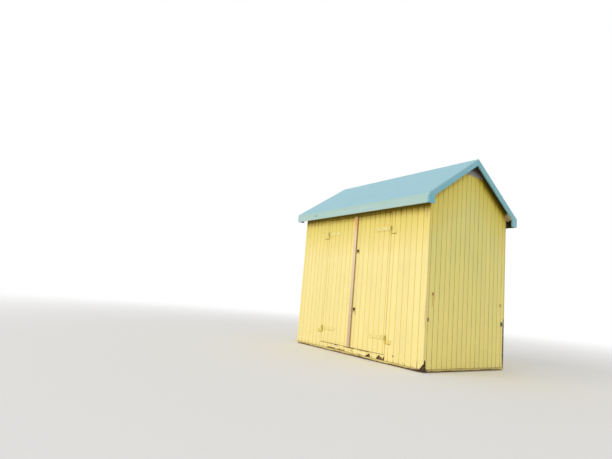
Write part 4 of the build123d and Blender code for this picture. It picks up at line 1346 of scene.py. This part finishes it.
def covering(side, stations=110):
    """One slope of the covering, as a section of outer and inner points carried along the hut.

    The outer line runs down the slope, turns round the eave in a quarter bend and ends as a lip. The sheet
    dips by up to 0.8 mm, as half of 1 plus a product of sines, and lies true along all its edges.
    """
    reach = -sheet_low.y
    down = np.linspace(0, reach / math.cos(pitch) - BEND, 34)
    turn = np.linspace(0, math.pi / 2 - pitch, 5)[1:]
    flat_y, flat_z = down * math.cos(pitch), ridge - down * math.sin(pitch)
    # The bend starts where the flat ends, and turns from the slope's direction to straight down
    centre = (flat_y[-1] - BEND * math.sin(pitch), flat_z[-1] - BEND * math.cos(pitch))
    bend_y = centre[0] + BEND * np.sin(pitch + turn)
    bend_z = centre[1] + BEND * np.cos(pitch + turn)
    shift = reach - bend_y[-1]
    y = np.concatenate([flat_y, bend_y, [bend_y[-1]]])
    y[1:] += shift * np.clip(np.arange(1, len(y)) / len(flat_y), 0, 1)
    z = np.concatenate([flat_z, bend_z, [sheet_low.z]])
    normal = np.concatenate([np.full(len(down), pitch), pitch + turn, [math.pi / 2]])
    inner_y, inner_z = y - SHEET * np.sin(normal), z - SHEET * np.cos(normal)
    inner_y[0], inner_z[0] = 0.0, ridge - SHEET / math.cos(pitch)
    along = np.linspace(-1, 1, stations)
    x = (along * (sheet_high.x - SHEET))[:, None]
    edge = np.clip(np.minimum(1 - np.abs(along), 0.1) / 0.1, 0, 1)[:, None]
    into = np.sin(np.linspace(0, np.pi, len(y))) ** 0.5
    wave = np.sin(x * 13 + 3 * y) * np.sin(y * 41 / math.cos(pitch) + 2 * np.sin(x * 4))
    dip = DIP * (1 + wave) * edge * into
    wide = np.broadcast_to(x, dip.shape)
    outer, inner = (
        np.stack([wide, side * (way - dip * np.sin(pitch)), height - dip * np.cos(pitch)], -1)
        for way, height in ((y, z), (inner_y, inner_z))
    )
    return capped(np.concatenate([outer, inner[:, ::-1]], 1))


def verge_lip(side, end, stations=60):
    """The covering turned down over a barge board: a thin strip with a rounded top, down the slope."""
    y = np.linspace(0, -sheet_low.y, stations)[:, None]
    line = ridge - y * slope
    lip = SHEET_LIP - 1.2 * MM * np.abs(np.sin(y * 23 + end))
    out = np.array([0.0, 0.5, 1.0, 1.2, 1.2, 0.0]) * MM
    fall = np.array([0.0, 0.1, 0.5, 1.2, 0.0, 0.0]) * MM
    hang = np.array([0, 0, 0, 0, 1, 1])
    x = end * (sheet_high.x - SHEET + out)
    height = line - fall - hang * lip
    wide, deep = np.broadcast_to(x, height.shape), np.broadcast_to(y, height.shape)
    return capped(np.stack([wide, side * deep, height], -1))


# %% The covering's pieces, each with its nails along both verges and the eave
ROOF_NAIL_STEP = 90 * MM
VERGE_NAILS = 1.29
EAVE_NAILS = 20 * MM
NAIL_SUNK = 0.2 * MM
roof_nail = turned(np.array([(5.0, -1.0), (5.0, 0.3), (3.0, 0.9)]) * MM, "Z", around=10)
down_all = np.arange(60 * MM, deck_length, ROOF_NAIL_STEP)
along_all = np.arange(-1.26, 1.27, ROOF_NAIL_STEP)
for side, name in SLOPES:
    make_piece(
        f"{name}_roof_covering", [covering(side), verge_lip(side, -1), verge_lip(side, 1)],
        "root", roof_paint, [f"{name}_roof_sheet"],
    )
    put = on_slope(side)
    heads = [put(down, NAIL_SUNK, x) for down in down_all for x in (-VERGE_NAILS, VERGE_NAILS)]
    heads += [put(deck_length - EAVE_NAILS, NAIL_SUNK, x) for x in along_all]
    make_piece(f"{name}_roof_nails", [repeated(roof_nail, heads)], "root", roof_nail_paint)

# %% Apex boards: two level boards, of which the upper is cut to the roof
APEX_GAP = 2 * MM
APEX_BOARD = 12 * MM
APEX_RECESS = 6 * MM
cut_height = (apex_low.z + apex_high.z) / 2
half = apex_high.y
middle_half = half * (apex_high.z - cut_height) / (apex_high.z - apex_low.z)
lower = [(-half, apex_low.z), (half, apex_low.z),
         (middle_half, cut_height - APEX_GAP), (-middle_half, cut_height - APEX_GAP)]
upper = [(-middle_half, cut_height), (middle_half, cut_height), (0.0, apex_high.z)]
outer = right_face - APEX_RECESS
shells = []
for depths in ((-outer, APEX_BOARD - outer), (outer - APEX_BOARD, outer)):
    for outline in (lower, upper):
        shells.append(slab(outline, *depths, lambda y, z, x: (x, y, z), arris=1.0 * MM, tone=chance.random()))
make_piece("apex_panel_boards", shells, "root", apex_wood, ["apex_boards"])


# %% [markdown]
# ## Pieces that keep the frame's shape
# The framing timbers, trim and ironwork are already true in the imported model, so modelling them again would
# only add error. Their loose triangles are welded, their sharp edges are taken off as a plane or a file
# would, and each gets its finish.

# %% Edges and finishes of the CAD nodes
def dress(name, material, width):
    """Welds a CAD node's loose triangles and takes its sharp edges off, then gives it its finish."""
    piece = nodes[name]
    piece.data.materials.clear()
    piece.data.materials.append(material)
    weld = piece.modifiers.new("weld", "WELD")
    weld.merge_threshold = 0.01 * MM
    bevel = piece.modifiers.new("bevel", "BEVEL")
    bevel.width = width
    bevel.segments = 2
    bevel.limit_method = "ANGLE"
    bevel.angle_limit = math.radians(35)


BARGE_SIDES = ("left_front", "left_back", "right_front", "right_back")
finishes = [
    (rail_wood, 1.5, ["bottom_rails_long", "bottom_rails_short", "floor_joists"]),
    (beam_wood, 1.5, ["wall_plates", "ridge_board", "door_head", "left_door_ledges", "right_door_ledges"]),
    (cross_wood, 1.5, ["gable_ties"]),
    (ring_wood, 1.5, ["mid_rails"]),
    (left_brace_wood, 1.5, ["left_door_braces"]),
    (right_brace_wood, 1.5, ["right_door_braces"]),
    (post_wood, 1.5, ["corner_posts", "door_posts"]),
    (rafter_wood, 1.5, ["rafters"]),
    # The verge rafters take the roof boards' near-black painted shade
    (deck_wood, 1.5, ["verge_rafters"]),
    (barge_paint, 2.0, [f"{side}_barge_board" for side in BARGE_SIDES]),
    (fascia_paint, 2.0, ["front_fascia"]),
    (back_fascia_paint, 2.0, ["back_fascia"]),
    (strip_wood, 2.5, ["meeting_strip"]),
    (strap_paint, 0.8, ["left_door_straps", "right_door_straps"]),
    (hinge_paint, 0.8, ["pintles"]),
    (lock_steel, 0.4, ["door_locks"]),
]
for material, width, names in finishes:
    for name in names:
        dress(name, material, width * MM)
print("dressed", sum(len(names) for _, _, names in finishes))
